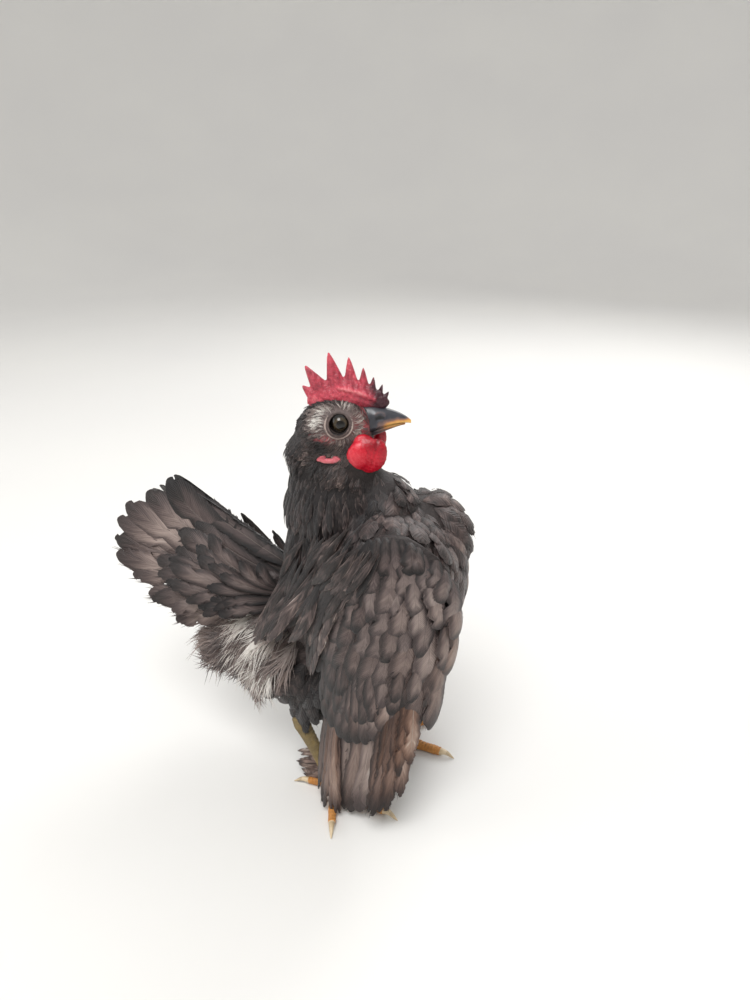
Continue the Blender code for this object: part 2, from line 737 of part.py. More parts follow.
def make_leg(name, side, carriers):
    """Feathered thigh, scaled shank with its hock, and a foot with four toes and claws."""
    hock, ankle, foot = (mirrored(p, side) for p in (HOCK, ANKLE, FOOT))
    shank_line = [hock.lerp(ankle, share) for share, _ in SHANK_STATIONS]
    shank = tube(shank_line, [radius for _, radius in SHANK_STATIONS], 10, name="shank_" + name)
    shank.data.materials.append(material("leg_scale"))
    smooth(shank, 50)

    thigh_line = [mirrored(place, side) for place, _ in THIGH_STATIONS]
    thigh = tube(thigh_line, [radii for _, radii in THIGH_STATIONS], 12, name="thigh_" + name)
    thigh.data.materials.append(material("feather_black"))
    cut_clear(thigh, *carriers, shank)
    smooth(thigh, 50)

    axis = (ankle - hock).normalized()
    stub = tube([ankle + axis * GAP, ankle + axis * 3.4, foot], [3.1, 3.2, 2.8], 10)
    toes = []
    for toe, (yaw, length, thick, thin) in TOES.items():
        heading = math.radians(-yaw if side < 0 else yaw - LEFT_FOOT_TURN)
        along = Vector((math.cos(heading), math.sin(heading), 0))
        toes.append(toe_piece(foot, along, length, thick, thin))
        claw = claw_piece(foot, along, length, thin, f"claw_{toe}_{name}")
        claw.data.materials.append(material("claw_horn"))
        smooth(claw, 60)
    pad_line = [foot + Vector((ahead, 0, rise)) for ahead, rise, _ in PAD_STATIONS]
    pad = tube(pad_line, [radii for _, _, radii in PAD_STATIONS], 10, True, "foot_" + name)
    pad.data.materials.append(material("leg_scale"))
    boolean(pad, "UNION", [stub, *toes])
    smooth(pad, 50)


def toe_piece(foot, along, length, thick, thin):
    """A toe with three knuckles, flat where it rests on the floor."""
    start = Vector((foot.x, foot.y, TOE_HEIGHT + 0.2)) - along * 1.0
    path, radii = [], []
    stations = 7
    for k in range(stations):
        t = k / (stations - 1)
        knuckle = 0.14 * math.cos(math.tau * 2 * t)
        path.append(start + along * (length + 1.0) * t + Vector((0, 0, -0.35 * t)))
        r = (thick + (thin - thick) * t) * (1 + knuckle * (1 - t) * 0.8)
        radii.append((r * 0.95, r))
    return tube(path, radii, 7, True)


def claw_piece(foot, along, length, thick, name):
    """A claw that leaves the toe's end and curves down to just above the floor."""
    base = Vector((foot.x, foot.y, TOE_HEIGHT - 0.15)) + along * (length + GAP)
    path, radii = [], []
    steps = 4
    for k in range(steps + 1):
        t = k / steps
        drop = Vector((0, 0, 0.5 * t - 1.7 * t * t))
        path.append(base + along * CLAW_LENGTH * t * (1 - 0.12 * t) + drop)
        radii.append(thick * 0.82 * (1 - t) + 0.22)
    path[0] = base
    return tube(path, radii, 6, True, name)


def build():
    clear_scene()
    rng = random.Random(SEED)
    body = flesh()
    torso = flesh_node(body, "torso", "feather_black", [(NECK_CUT, False), (HEAD_CUT, False)])
    neck = flesh_node(body, "neck", "feather_black", [(NECK_CUT, True), (HEAD_CUT, False)])
    head = make_head(body)
    bpy.data.objects.remove(body)
    make_beak(head)
    upper, lower = bpy.data.objects["beak_upper"], bpy.data.objects["beak_lower"]
    make_comb(head, upper)
    make_wattles((head, lower, neck))
    make_earlobes(head)
    make_wing("wing_right", -1, (torso, neck), rng)
    make_wing("wing_left", 1, (torso, neck), rng)
    make_tail_half("tail_right", -1, (torso, neck))
    make_tail_half("tail_left", 1, (torso, neck))
    wings = [bpy.data.objects[n] for n in ("wing_right", "wing_left")]
    make_leg("right", -1, (torso, wings[0]))
    make_leg("left", 1, (torso, wings[1]))
    for node in (torso, neck, head):
        smooth(node, 60)


build()
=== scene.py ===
"""Looks of the serama hen: one skin, its coat of feathers, the head's soft forms and the feet.

Sizes are in millimetres on the hen's own axes, as in the part: the hen faces +X, its left is +Y and
the floor is Z = 0. They are turned to metres of the shared frame as each mesh is made.
"""

import json
import math

import bmesh
import bpy
import numpy as np
from mathutils import Matrix, Vector
from mathutils.bvhtree import BVHTree

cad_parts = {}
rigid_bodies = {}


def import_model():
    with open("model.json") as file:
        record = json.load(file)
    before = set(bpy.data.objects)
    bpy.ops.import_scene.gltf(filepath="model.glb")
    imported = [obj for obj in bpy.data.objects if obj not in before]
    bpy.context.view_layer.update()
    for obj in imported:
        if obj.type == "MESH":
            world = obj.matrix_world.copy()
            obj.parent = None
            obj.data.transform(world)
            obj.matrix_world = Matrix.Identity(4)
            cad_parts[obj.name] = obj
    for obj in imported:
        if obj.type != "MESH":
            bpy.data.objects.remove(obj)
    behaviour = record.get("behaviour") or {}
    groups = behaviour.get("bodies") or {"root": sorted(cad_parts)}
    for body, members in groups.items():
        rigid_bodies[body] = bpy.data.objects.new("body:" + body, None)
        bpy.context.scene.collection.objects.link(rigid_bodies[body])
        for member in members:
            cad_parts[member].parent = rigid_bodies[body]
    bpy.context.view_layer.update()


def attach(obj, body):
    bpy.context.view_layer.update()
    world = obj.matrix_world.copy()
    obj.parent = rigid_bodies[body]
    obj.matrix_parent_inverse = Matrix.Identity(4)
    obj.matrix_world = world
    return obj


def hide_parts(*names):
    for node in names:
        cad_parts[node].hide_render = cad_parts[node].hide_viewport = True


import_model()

MM = 0.001
SEED = 5
BOX_MIDDLE = np.array((-42.0, -0.9, 0.0))
RIGHT, LEFT = -1, 1

# The head turns about an upright axis through the top of the neck.
HEAD_PIVOT = np.array((-12.0, 0.0, 0.0))
HEAD_TURN = math.radians(24.0)
# Places in the head's own axes: distance ahead and height.
EYE = (-3.4, 176.4)
EYE_RADIUS = 4.5
EYE_DEPTH = 4.15
EAR = (-12.0, 167.0)
EARLOBE = (-7.4, 162.2)

# Rounded masses of the flesh, as in the part: centre, radii, nose-up pitch in degrees.
BODY_MASSES = (
    ((10, 0, 108), (32, 30, 34), 0),
    ((13, 12, 120), (25.5, 19, 24.5), 0),
    ((13, -12, 119), (25, 19, 23.5), 0),
    ((3, 0, 80), (31, 29, 36), 0),
    ((-15, 0, 95), (26.5, 25, 32), 0),
    ((-37, 0, 57), (32, 24.5, 27), 22),
    ((-50, 0, 66), (25, 18, 21), 14),
    ((-64, 0, 59), (28, 20, 16), 24),
    ((-42, 0, 83), (18, 13, 19), 0),
    ((-47, 0, 89), (18, 9.5, 16), 12),
)
NECK_MASSES = (
    ((-16.5, -1, 155), (19, 15, 16), 0),
    ((-22.0, -2, 149), (17, 14.5, 17), 0),
    ((-18.5, 0, 137), (23.5, 19, 24), 0),
    ((-18, 0, 117), (25.5, 22, 26), 0),
    ((0, 4, 140), (16, 15, 14.5), 0),
)
HEAD_MASSES = (
    ((-5.5, 0, 173.5), (16.0, 11.6, 12.0), 8),
    ((-10.5, 0, 163), (14.6, 12.6, 13.0), -20),
    ((4.2, 0, 172), (8.0, 7.6, 8.6), 0),
    ((-14, 0, 161), (13.0, 12.6, 13.0), 0),
)
# Bare skin that wraps the root of the bill.
BILL_ROOT = (((6.0, 0, 174.6), (5.6, 6.6, 7.6), 0),)
THIGH = (((-4, -15, 66), 12.0), ((-14, -17, 54), 11.0), ((-23, -18, 43), 8.0), ((-31, -19, 35), 4.6))
# How the masses blend into one skin: the cell of its mesh, and the rounds that soften it.
BLEND_VOXEL = 1.6
BLEND_STEPS = 18
# How deep the skin sinks at the eyes and the ears.
SOCKET_DEPTH = 3.6
EAR_DEPTH = 1.4

# Wing: its outer surface is an upright half oval round the body, longer to the rear.
WING_MIDDLE_X = 13.0
WING_REACH_REAR = 42.0
WING_REACH_FRONT = 35.5
WING_REACH_SIDE = 38.0
LEFT_WING_SHIFT = -9.0
LEFT_WING_HEIGHT = 0.965

# Legs of the right side. The left leg stands a little forward, with its foot turned in by some degrees.
HOCK = (-28.5, -20, 31)
ANKLE = (-15, -21, 8.5)
FOOT = (-11.5, -21.5, 3.2)
LEFT_STEP = (10.3, -1.1, 0)
LEFT_FOOT_TURN = 12
# Toes: heading in degrees out from ahead, length, and radius at the root and the end.
TOES = {
    "middle": (11, 29, 2.8, 2.1),
    "outer": (66, 24, 2.5, 1.85),
    "inner": (-38, 20, 2.5, 1.85),
    "hind": (168, 13, 2.2, 1.7),
}
CLAW_LENGTH = 8.0


# Places and meshes


def metres(points):
    """The hen's millimetres as metres of the shared frame."""
    return (np.asarray(points, float).reshape(-1, 3) - BOX_MIDDLE) * MM


def millimetres(points):
    return np.asarray(points, float).reshape(-1, 3) / MM + BOX_MIDDLE


def turned(points, angle):
    """Points turned about the head's upright axis."""
    p = np.asarray(points, float).reshape(-1, 3) - HEAD_PIVOT
    c, s = np.cos(angle), np.sin(angle)
    x, y = p[:, 0] * c - p[:, 1] * s, p[:, 0] * s + p[:, 1] * c
    return np.stack((x, y, p[:, 2]), 1) + HEAD_PIVOT


def from_head(points):
    """Points of the head's own axes, which start on the pivot, as places of the hen."""
    return turned(np.asarray(points, float).reshape(-1, 3) + HEAD_PIVOT, HEAD_TURN)


def unit(vectors):
    v = np.asarray(vectors, float)
    return v / np.maximum(np.linalg.norm(v, axis=-1, keepdims=True), 1e-9)


def ease(low, high, x):
    """Rises smoothly from 0 at low to 1 at high."""
    t = np.clip((np.asarray(x, float) - low) / (high - low), 0, 1)
    return t * t * (3 - 2 * t)


def mesh_object(name, points, faces, uv=None):
    """An object from points in the hen's millimetres. uv has a place for every point."""
    mesh = bpy.data.meshes.new(name)
    mesh.from_pydata(metres(points).tolist(), [], faces)
    if uv is not None:
        put_uv(mesh, "vane", np.asarray(uv, float))
    mesh.shade_smooth()
    obj = bpy.data.objects.new(name, mesh)
    bpy.context.scene.collection.objects.link(obj)
    return obj


def put_uv(mesh, name, by_point):
    """Writes a UV map from one place for every point."""
    layer = mesh.uv_layers.get(name) or mesh.uv_layers.new(name=name)
    corners = np.empty(len(mesh.loops), np.int32)
    mesh.loops.foreach_get("vertex_index", corners)
    layer.data.foreach_set("uv", by_point[corners].astype(np.float32).ravel())


def put_values(mesh, name, values):
    """Writes a number, or a vector, for every point."""
    values = np.asarray(values, np.float32)
    kind, slot = ("FLOAT", "value") if values.ndim == 1 else ("FLOAT_VECTOR", "vector")
    found = mesh.attributes.get(name) or mesh.attributes.new(name, kind, "POINT")
    found.data.foreach_set(slot, values.ravel())


def places_of(mesh, attribute=None):
    """The mesh's points in millimetres, or a vector attribute of its points as it is."""
    out = np.empty(len(mesh.vertices) * 3, np.float32)
    if attribute:
        mesh.attributes[attribute].data.foreach_get("vector", out)
        return out.reshape(-1, 3).astype(float)
    mesh.vertices.foreach_get("co", out)
    return millimetres(out)


def normals_of(mesh):
    out = np.empty(len(mesh.vertices) * 3, np.float32)
    mesh.vertices.foreach_get("normal", out)
    return out.reshape(-1, 3).astype(float)


def move_points(mesh, points):
    mesh.vertices.foreach_set("co", metres(points).astype(np.float32).ravel())
    mesh.update()


def evaluated(obj):
    """Gives the object the mesh that its modifiers make, and drops the modifiers."""
    graph = bpy.context.evaluated_depsgraph_get()
    mesh = bpy.data.meshes.new_from_object(obj.evaluated_get(graph))
    obj.modifiers.clear()
    old, obj.data = obj.data, mesh
    bpy.data.meshes.remove(old)


def joined(name, objects):
    """One object with the loose shells of several, which are removed."""
    bm = bmesh.new()
    for obj in objects:
        bm.from_mesh(obj.data)
        bpy.data.objects.remove(obj)
    mesh = bpy.data.meshes.new(name)
    bm.to_mesh(mesh)
    bm.free()
    made = bpy.data.objects.new(name, mesh)
    bpy.context.scene.collection.objects.link(made)
    return made


def ellipsoid(centre, radii, pitch=0, head=False):
    """A rounded mass, tipped nose up by its pitch, and turned with the head where head is set."""
    bm = bmesh.new()
    bmesh.ops.create_icosphere(bm, subdivisions=3, radius=1)
    points = np.array([v.co for v in bm.verts]) * radii
    faces = [[v.index for v in f.verts] for f in bm.faces]
    bm.free()
    a = math.radians(-pitch)
    x = points[:, 0] * math.cos(a) + points[:, 2] * math.sin(a)
    z = -points[:, 0] * math.sin(a) + points[:, 2] * math.cos(a)
    points = np.stack((x, points[:, 1], z), 1) + centre
    return mesh_object("mass", from_head(points) if head else points, faces)


def ring_mesh(rings):
    """Points and faces of a closed surface through rings of equal point counts."""
    rings = np.asarray(rings, float)
    count, around = rings.shape[:2]
    faces = []
    for r in range(count - 1):
        for i in range(around):
            a, b = r * around + i, r * around + (i + 1) % around
            faces.append((a, b, b + around, a + around))
    points = np.vstack((rings.reshape(-1, 3), rings[0].mean(0), rings[-1].mean(0)))
    first, last = len(points) - 2, len(points) - 1
    for i in range(around):
        j = (i + 1) % around
        faces.append((j, i, first))
        faces.append(((count - 1) * around + i, (count - 1) * around + j, last))
    return points, faces


def faced_out(obj):
    bm = bmesh.new()
    bm.from_mesh(obj.data)
    bmesh.ops.recalc_face_normals(bm, faces=bm.faces)
    bm.to_mesh(obj.data)
    bm.free()
    return obj


def blended(name, pieces, voxel, steps):
    """One surface over joined masses, remeshed at a voxel and softened."""
    obj = joined(name, pieces)
    remesh = obj.modifiers.new("blend", "REMESH")
    remesh.mode = "VOXEL"
    remesh.voxel_size = voxel * MM
    soften = obj.modifiers.new("soften", "SMOOTH")
    soften.factor = 0.5
    soften.iterations = steps
    evaluated(obj)
    obj.data.shade_smooth()
    return obj


def along(path, count):
    """A smooth path of evenly spaced stations through places, with any further columns."""
    path = np.asarray(path, float)
    before, after = 2 * path[0] - path[1], 2 * path[-1] - path[-2]
    p = np.vstack((before, path, after))
    out = []
    for s in np.linspace(0, len(path) - 1, count):
        k = min(int(s), len(path) - 2)
        t = s - k
        a, b, c, d = p[k:k + 4]
        square, cube = 2 * a - 5 * b + 4 * c - d, 3 * b - a - 3 * c + d
        out.append(0.5 * (2 * b + (c - a) * t + square * t ** 2 + cube * t ** 3))
    return np.array(out)


def tube_rings(path, radii, around, up=(0, 0, 1)):
    """Rings round a path; radii are (side, up) for each place."""
    path, radii = np.asarray(path, float), np.asarray(radii, float)
    if radii.ndim == 1:
        radii = np.stack((radii, radii), 1)
    ahead = unit(np.gradient(path, axis=0))
    side = unit(np.cross(ahead, up))
    rise = np.cross(side, ahead)
    angles = np.linspace(0, math.tau, around, endpoint=False)
    ring = side[:, None] * np.cos(angles)[None, :, None] * radii[:, 0, None, None]
    return path[:, None] + ring + rise[:, None] * np.sin(angles)[None, :, None] * radii[:, 1, None, None]


def dressed(obj, body_material, slot, *nodes):
    """Gives a finished piece its material and its body, and hides the nodes that it stands for. slot is not
    used.
    """
    obj.data.materials.clear()
    obj.data.materials.append(body_material)
    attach(obj, "root")
    if nodes:
        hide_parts(*nodes)
    return obj


# Materials


def linear(code):
    """An sRGB hex colour as linear red, green, blue and alpha."""
    parts = [int(code[i:i + 2], 16) / 255 for i in (1, 3, 5)]
    return tuple(c / 12.92 if c <= 0.04045 else ((c + 0.055) / 1.055) ** 2.4 for c in parts) + (1.0,)


class Value:
    """A value in a node tree. Arithmetic on it adds the nodes that work it out."""

    def __init__(self, tree, socket):
        self.tree = tree
        self.socket = socket

    def worked(self, operation, first, second=0.0):
        return add(self.tree, "ShaderNodeMath", {0: first, 1: second}, operation=operation)[0]

    def __add__(self, other):
        return self.worked("ADD", self, other)

    def __sub__(self, other):
        return self.worked("SUBTRACT", self, other)

    def __rsub__(self, other):
        return self.worked("SUBTRACT", other, self)

    def __mul__(self, other):
        return self.worked("MULTIPLY", self, other)

    def __rtruediv__(self, other):
        return self.worked("DIVIDE", other, self)

    def __abs__(self):
        return self.worked("ABSOLUTE", self)

    def sine(self):
        return self.worked("SINE", self)

    def most(self, other):
        """The larger of two values."""
        return self.worked("MAXIMUM", self, other)

    def eased(self, low, high, first=0.0, last=1.0):
        """Goes smoothly from first, where the value is low, to last, where it is high."""
        ends = {"Value": self, "From Min": low, "From Max": high, "To Min": first, "To Max": last}
        return add(self.tree, "ShaderNodeMapRange", ends, interpolation_type="SMOOTHSTEP")[0]


class Outputs:
    """The outputs of a node, as values by name or number."""

    def __init__(self, tree, node):
        self.tree = tree
        self.node = node

    def __getitem__(self, key):
        return Value(self.tree, self.node.outputs[key])


def feed(node, inputs):
    """Links or sets inputs of a node."""
    for key, value in inputs.items():
        if isinstance(value, Value):
            value.tree.links.new(value.socket, node.inputs[key])
        else:
            node.inputs[key].default_value = value


def add(tree, kind, inputs=None, stops=(), **settings):
    """Adds a node with its settings and inputs. stops are a ramp's places and hex colours."""
    node = tree.nodes.new(kind)
    for key, value in settings.items():
        setattr(node, key, value)
    for _ in stops[2:]:
        node.color_ramp.elements.new(0.5)
    for k, (place, code) in enumerate(stops):
        node.color_ramp.elements[k].position = place
        node.color_ramp.elements[k].color = linear(code)
    feed(node, inputs or {})
    return Outputs(tree, node)


def new_finish(name, roughness, **sockets):
    """A surface's material, with the inputs that are even all over it."""
    made = bpy.data.materials.new(name)
    made.use_nodes = True
    shader = made.node_tree.nodes["Principled BSDF"]
    feed(shader, {"Roughness": roughness})
    feed(shader, {key.replace("_", " "): value for key, value in sockets.items()})
    return made, made.node_tree, shader


# The coat's shades from the blackest hackle to the palest down, by the tone that each feather carries.
COAT_SHADES = (
    (0.0, "#141113"),
    (0.2, "#292322"),
    (0.4, "#4c4140"),
    (0.58, "#756864"),
    (0.74, "#988a84"),
    (0.88, "#bab0aa"),
    (1.0, "#e4e0da"),
)
COAT_BROWN = "#7a5534"
QUILL_PALE = "#a0958b"


def tinted_coat(tree, shade, brown):
    """The coat's colour at a shade, warmed by a share of brown."""
    coat = add(tree, "ShaderNodeValToRGB", {0: shade}, COAT_SHADES)[0]
    parts = {0: brown, 6: coat, 7: linear(COAT_BROWN)}
    return add(tree, "ShaderNodeMix", parts, data_type="RGBA", blend_type="SOFT_LIGHT")[2]


def marks_of(tree, *names):
    """Values that a piece carries at its points, such as its tone."""
    return [add(tree, "ShaderNodeAttribute", attribute_name=name)["Fac"] for name in names]


def feather_finish(name, barbs, streak, edge_shade, lace, shaft, roughness):
    """Keratin vane: satin, with fine slanting barbs either side of a shaft, painted shade at its rim and
    end, a painted highlight before its end, and a pale lace on its very edge.

    barbs is the count of barbs drawn along a feather. Real ones are about 0.25 mm apart, too fine to
    show, so they are drawn two to four times as coarse.
    """
    made, tree, shader = new_finish(
        name, roughness, Specular_IOR_Level=0.35, Sheen_Weight=0.12, Sheen_Roughness=0.45
    )
    place = add(tree, "ShaderNodeSeparateXYZ", {0: add(tree, "ShaderNodeUVMap", uv_map="vane")[0]})
    out, up = abs(place[0] - 0.5) * 2.0, place[1]
    tone, brown = marks_of(tree, "tone", "brown")
    slant = up - out * 0.16
    wave = (slant * (barbs * math.tau)).sine()
    streaks = {0: slant * (barbs * 0.45), 1: out * 0.9, 2: tone * 61.0}
    streaks = add(tree, "ShaderNodeCombineXYZ", streaks)[0]
    grain = add(tree, "ShaderNodeTexNoise", {"Vector": streaks, "Scale": 1.0, "Detail": 4.0})[0]
    # Painted shade: the vane darkens towards its edges and its end, where its neighbours shade it.
    end = up.eased(0.7, 1.0)
    edge = out.eased(0.3, 1.0).most(end)
    # Painted highlight: the vane is made palest where it turns to the light, a third of the way before its
    # end.
    painted_highlight = up.eased(0.2, 0.6) * (1.0 - end)
    thin = out.eased(0.82, 0.97).most(up.eased(0.93, 1.0))
    shade = tone + (grain - 0.5) * streak - edge * edge_shade + painted_highlight * (edge_shade * 0.5) + thin * lace + wave * 0.012
    quill = out.eased(0.08, 0.02) * up.eased(1.0, 0.5)
    seen = quill * tone.eased(0.45, 0.75, shaft * 0.25, shaft)
    parts = {0: seen, 6: tinted_coat(tree, shade, brown * 0.8), 7: linear(QUILL_PALE)}
    colour = add(tree, "ShaderNodeMix", parts, data_type="RGBA")[2]
    relief = {"Height": wave * 0.25 + (grain + quill), "Distance": 0.25 * MM, "Strength": 0.7}
    feed(shader, {"Base Color": colour, "Normal": add(tree, "ShaderNodeBump", relief)[0]})
    return made


def down_finish():
    """Down: matt, pale, with soft barbs that are hairs of their own here."""
    made, tree, shader = new_finish(
        "down_feather", 0.8, Specular_IOR_Level=0.2, Sheen_Weight=0.3, Sheen_Roughness=0.6
    )
    tone, brown = marks_of(tree, "tone", "brown")
    feed(shader, {"Base Color": tinted_coat(tree, tone, brown * 0.5)})
    return made


def skin_finish():
    """Thin skin: dark where the coat grows from it, grey round the eye and flushed at the lores."""
    made, tree, shader = new_finish("bird_skin", 0.6, Specular_IOR_Level=0.35)
    place = add(tree, "ShaderNodeTexCoord")["Object"]
    tone, flush, brown = marks_of(tree, "tone", "flush", "brown")
    grain = add(tree, "ShaderNodeTexNoise", {"Vector": place, "Scale": 900.0, "Detail": 4.0})[0]
    skin = tinted_coat(tree, tone + (grain - 0.5) * 0.22, brown * 0.6)
    red = add(tree, "ShaderNodeValToRGB", {0: grain}, ((0.3, "#9a2c38"), (0.7, "#d0787a")))[0]
    colour = add(tree, "ShaderNodeMix", {0: flush, 6: skin, 7: red}, data_type="RGBA")[2]
    # Pores and papillae about 0.6 mm apart.
    pores = add(tree, "ShaderNodeTexVoronoi", {"Vector": place, "Scale": 1500.0})["Distance"]
    relief = {"Height": pores + grain, "Distance": 0.25 * MM, "Strength": 0.6}
    feed(shader, {"Base Color": colour, "Normal": add(tree, "ShaderNodeBump", relief)[0]})
    return made


def flesh_finish(name, dark, mid, pale, granules, depth, roughness):
    """Comb and wattle skin: blood-red, granular, with a moist gloss. granules is their size in mm."""
    made, tree, shader = new_finish(
        name, roughness, Specular_IOR_Level=0.5, Subsurface_Weight=0.12, Subsurface_Scale=0.002,
        Subsurface_Radius=(1.0, 0.25, 0.15),
    )
    place = add(tree, "ShaderNodeTexCoord")["Object"]
    warp = add(tree, "ShaderNodeTexNoise", {"Vector": place, "Scale": 350.0, "Detail": 3.0})[0]
    (shade,) = marks_of(tree, "shade")
    grains = add(tree, "ShaderNodeTexVoronoi", {"Vector": place, "Scale": 1 / (granules * MM)})["Distance"]
    value = shade + (warp - 0.5) * 0.5 - grains * 0.16
    colour = add(tree, "ShaderNodeValToRGB", {0: value}, ((0.1, dark), (0.5, mid), (0.95, pale)))[0]
    relief = {"Height": warp * 0.8 - grains, "Distance": depth * MM, "Strength": 0.8}
    feed(shader, {"Base Color": colour, "Normal": add(tree, "ShaderNodeBump", relief)[0]})
    return made


def horn_finish(name, stops, roughness, lines):
    """Horn of bill and claws: smooth keratin with fine growth lines. The attribute shade tints it."""
    made, tree, shader = new_finish(
        name, roughness, Specular_IOR_Level=0.5, Coat_Weight=0.15, Coat_Roughness=0.25
    )
    place = add(tree, "ShaderNodeTexCoord")["Object"]
    (shade,) = marks_of(tree, "shade")
    grain = add(tree, "ShaderNodeTexNoise", {"Vector": place, "Scale": lines, "Detail": 5.0})[0]
    colour = add(tree, "ShaderNodeValToRGB", {0: shade + (grain - 0.5) * 0.22}, stops)[0]
    relief = {"Height": grain, "Distance": 0.12 * MM, "Strength": 0.5}
    feed(shader, {"Base Color": colour, "Normal": add(tree, "ShaderNodeBump", relief)[0]})
    return made


# Colours of the eye from the middle of the pupil outward, by the angle off its axis.
IRIS = (
    (0.0, "#060303"), (0.22, "#070404"), (0.25, "#33291d"), (0.32, "#453a2a"), (0.42, "#332a1e"),
    (0.47, "#0e0b09"), (0.6, "#090706"),
)
IRIS_SPOKE = "#141009"


def eye_finish():
    """Wet eye: a black pupil, an olive brown iris with fine spokes and a dark limbus under gloss."""
    made, tree, shader = new_finish(
        "wet_eye", 0.12, Specular_IOR_Level=0.35, Coat_Weight=0.35, Coat_Roughness=0.12
    )
    place = add(tree, "ShaderNodeSeparateXYZ", {0: add(tree, "ShaderNodeUVMap", uv_map="vane")[0]})
    spokes = add(tree, "ShaderNodeCombineXYZ", {0: place[0] * 60.0, 1: place[1]})[0]
    spokes = add(tree, "ShaderNodeTexNoise", {"Vector": spokes, "Scale": 2.0, "Detail": 4.0})[0]
    iris = add(tree, "ShaderNodeValToRGB", {0: place[1] + (spokes - 0.5) * 0.03}, IRIS)[0]
    parts = {0: spokes * 0.35, 6: iris, 7: linear(IRIS_SPOKE)}
    feed(shader, {"Base Color": add(tree, "ShaderNodeMix", parts, data_type="RGBA")[2]})
    return made


# Scaled skin from the shank's olive to the toes' orange, and the joints between its plates.
LEG_SHADES = ((0.0, "#5a5240"), (0.35, "#8a7648"), (0.65, "#c07f3a"), (1.0, "#d9a060"))
LEG_JOINT = "#4a3018"


def scale_finish():
    """Scaled skin of shank and toes: satin, ochre, with darker joints between the plates."""
    made, tree, shader = new_finish("scaled_leg_skin", 0.48, Specular_IOR_Level=0.45)
    place = add(tree, "ShaderNodeTexCoord")["Object"]
    shade, joint = marks_of(tree, "shade", "joint")
    grain = add(tree, "ShaderNodeTexNoise", {"Vector": place, "Scale": 500.0, "Detail": 4.0})[0]
    # Small plates of the sides and soles are about 0.8 mm across.
    plates = {"Vector": place, "Scale": 1250.0}
    cells = add(tree, "ShaderNodeTexVoronoi", plates, feature="DISTANCE_TO_EDGE")[0]
    skin = add(tree, "ShaderNodeValToRGB", {0: shade + (grain - 0.5) * 0.4}, LEG_SHADES)[0]
    dark = (cells.eased(0.12, 0.0) * 0.3).most(joint * 0.7)
    colour = add(tree, "ShaderNodeMix", {0: dark, 6: skin, 7: linear(LEG_JOINT)}, data_type="RGBA")[2]
    relief = {"Height": cells.eased(0.0, 0.2) + grain * 0.5, "Distance": 0.2 * MM, "Strength": 0.6}
    feed(shader, {"Base Color": colour, "Normal": add(tree, "ShaderNodeBump", relief)[0]})
    return made


def floor_finish():
    """Matt pale studio floor."""
    made, tree, shader = new_finish("studio_floor", 0.9)
    place = add(tree, "ShaderNodeTexCoord")["Object"]
    soft = add(tree, "ShaderNodeTexNoise", {"Vector": place, "Scale": 3.0, "Detail": 2.0})[0]
    colour = add(tree, "ShaderNodeValToRGB", {0: soft}, ((0.3, "#dcdbd9"), (0.7, "#e0dfdc")))[0]
    feed(shader, {"Base Color": colour})
    return made


# Vanes: barbs drawn along one, streaks between them, painted edge shade and highlight, pale lace, pale
# shaft and roughness.
BODY_VANE = feather_finish("contour_feather", 9, 0.95, 0.10, 0.08, 0.1, 0.5)
HACKLE_VANE = feather_finish("hackle_feather", 14, 1.15, 0.04, 0.36, 0.0, 0.42)
COVERT_VANE = feather_finish("covert_feather", 26, 0.38, 0.32, 0.05, 0.08, 0.5)
FLIGHT_VANE = feather_finish("flight_feather", 34, 0.36, 0.30, 0.0, 0.55, 0.5)
DOWN = down_finish()
BIRD_SKIN = skin_finish()
# Flesh: its dark, middle and pale shades, size of the granules, depth of the relief and roughness.
COMB_SKIN = flesh_finish("comb_skin", "#3c131f", "#c04454", "#ee989a", 0.55, 0.24, 0.30)
WATTLE_SKIN = flesh_finish("wattle_skin", "#6a0614", "#be1028", "#e2505a", 0.5, 0.12, 0.24)
LOBE_SKIN = flesh_finish("ear_lobe_skin", "#8a2a34", "#c8606a", "#e2a8a4", 0.5, 0.12, 0.45)
BILL_SHADES = ((0.0, "#17171b"), (0.45, "#3a3b42"), (0.62, "#7f6258"), (0.8, "#c98a4a"), (1.0, "#e2b160"))
CLAW_SHADES = ((0.0, "#8d7a5e"), (0.6, "#cdb896"), (1.0, "#e4d8c0"))
# Horn: its shades, roughness and the growth lines in a metre.
BILL_HORN = horn_finish("bill_horn", BILL_SHADES, 0.32, 700.0)
CLAW_HORN = horn_finish("claw_horn", CLAW_SHADES, 0.35, 600.0)
WET_EYE = eye_finish()
LEG_SKIN = scale_finish()


# Skin


def head_axes(points):
    """Distance ahead, distance out to either side and height in the head's own axes."""
    p = turned(points, -HEAD_TURN) - HEAD_PIVOT
    return p[:, 0], np.abs(p[:, 1]), p[:, 2]


def straightened(points):
    """Points with the neck's turn taken out, and that turn for each."""
    p = np.asarray(points, float).reshape(-1, 3)
    turn = HEAD_TURN * ease(128, 158, p[:, 2])
    return turned(p, -turn), turn


def coat_depth(points):
    """How far the skin lies inside the outline of the coat."""
    ahead, _, height = head_axes(points)
    z = points[:, 2]
    # The coat is about 3 mm deep on the trunk, 1 mm on the neck and head, and less on the face.
    depth = 3.2 - 2.0 * ease(112, 138, z) - 0.3 * ease(150, 166, z)
    face = ease(-17, -10, ahead) * ease(157, 162, height) * ease(185, 181, height)
    return depth * (1 - face) + 0.35 * face


def eye_distance(points):
    """Distance from the eye's middle on either side of the head, a little less fore and aft."""
    ahead, _, height = head_axes(points)
    return np.hypot((ahead - EYE[0]) / 1.06, height - EYE[1])


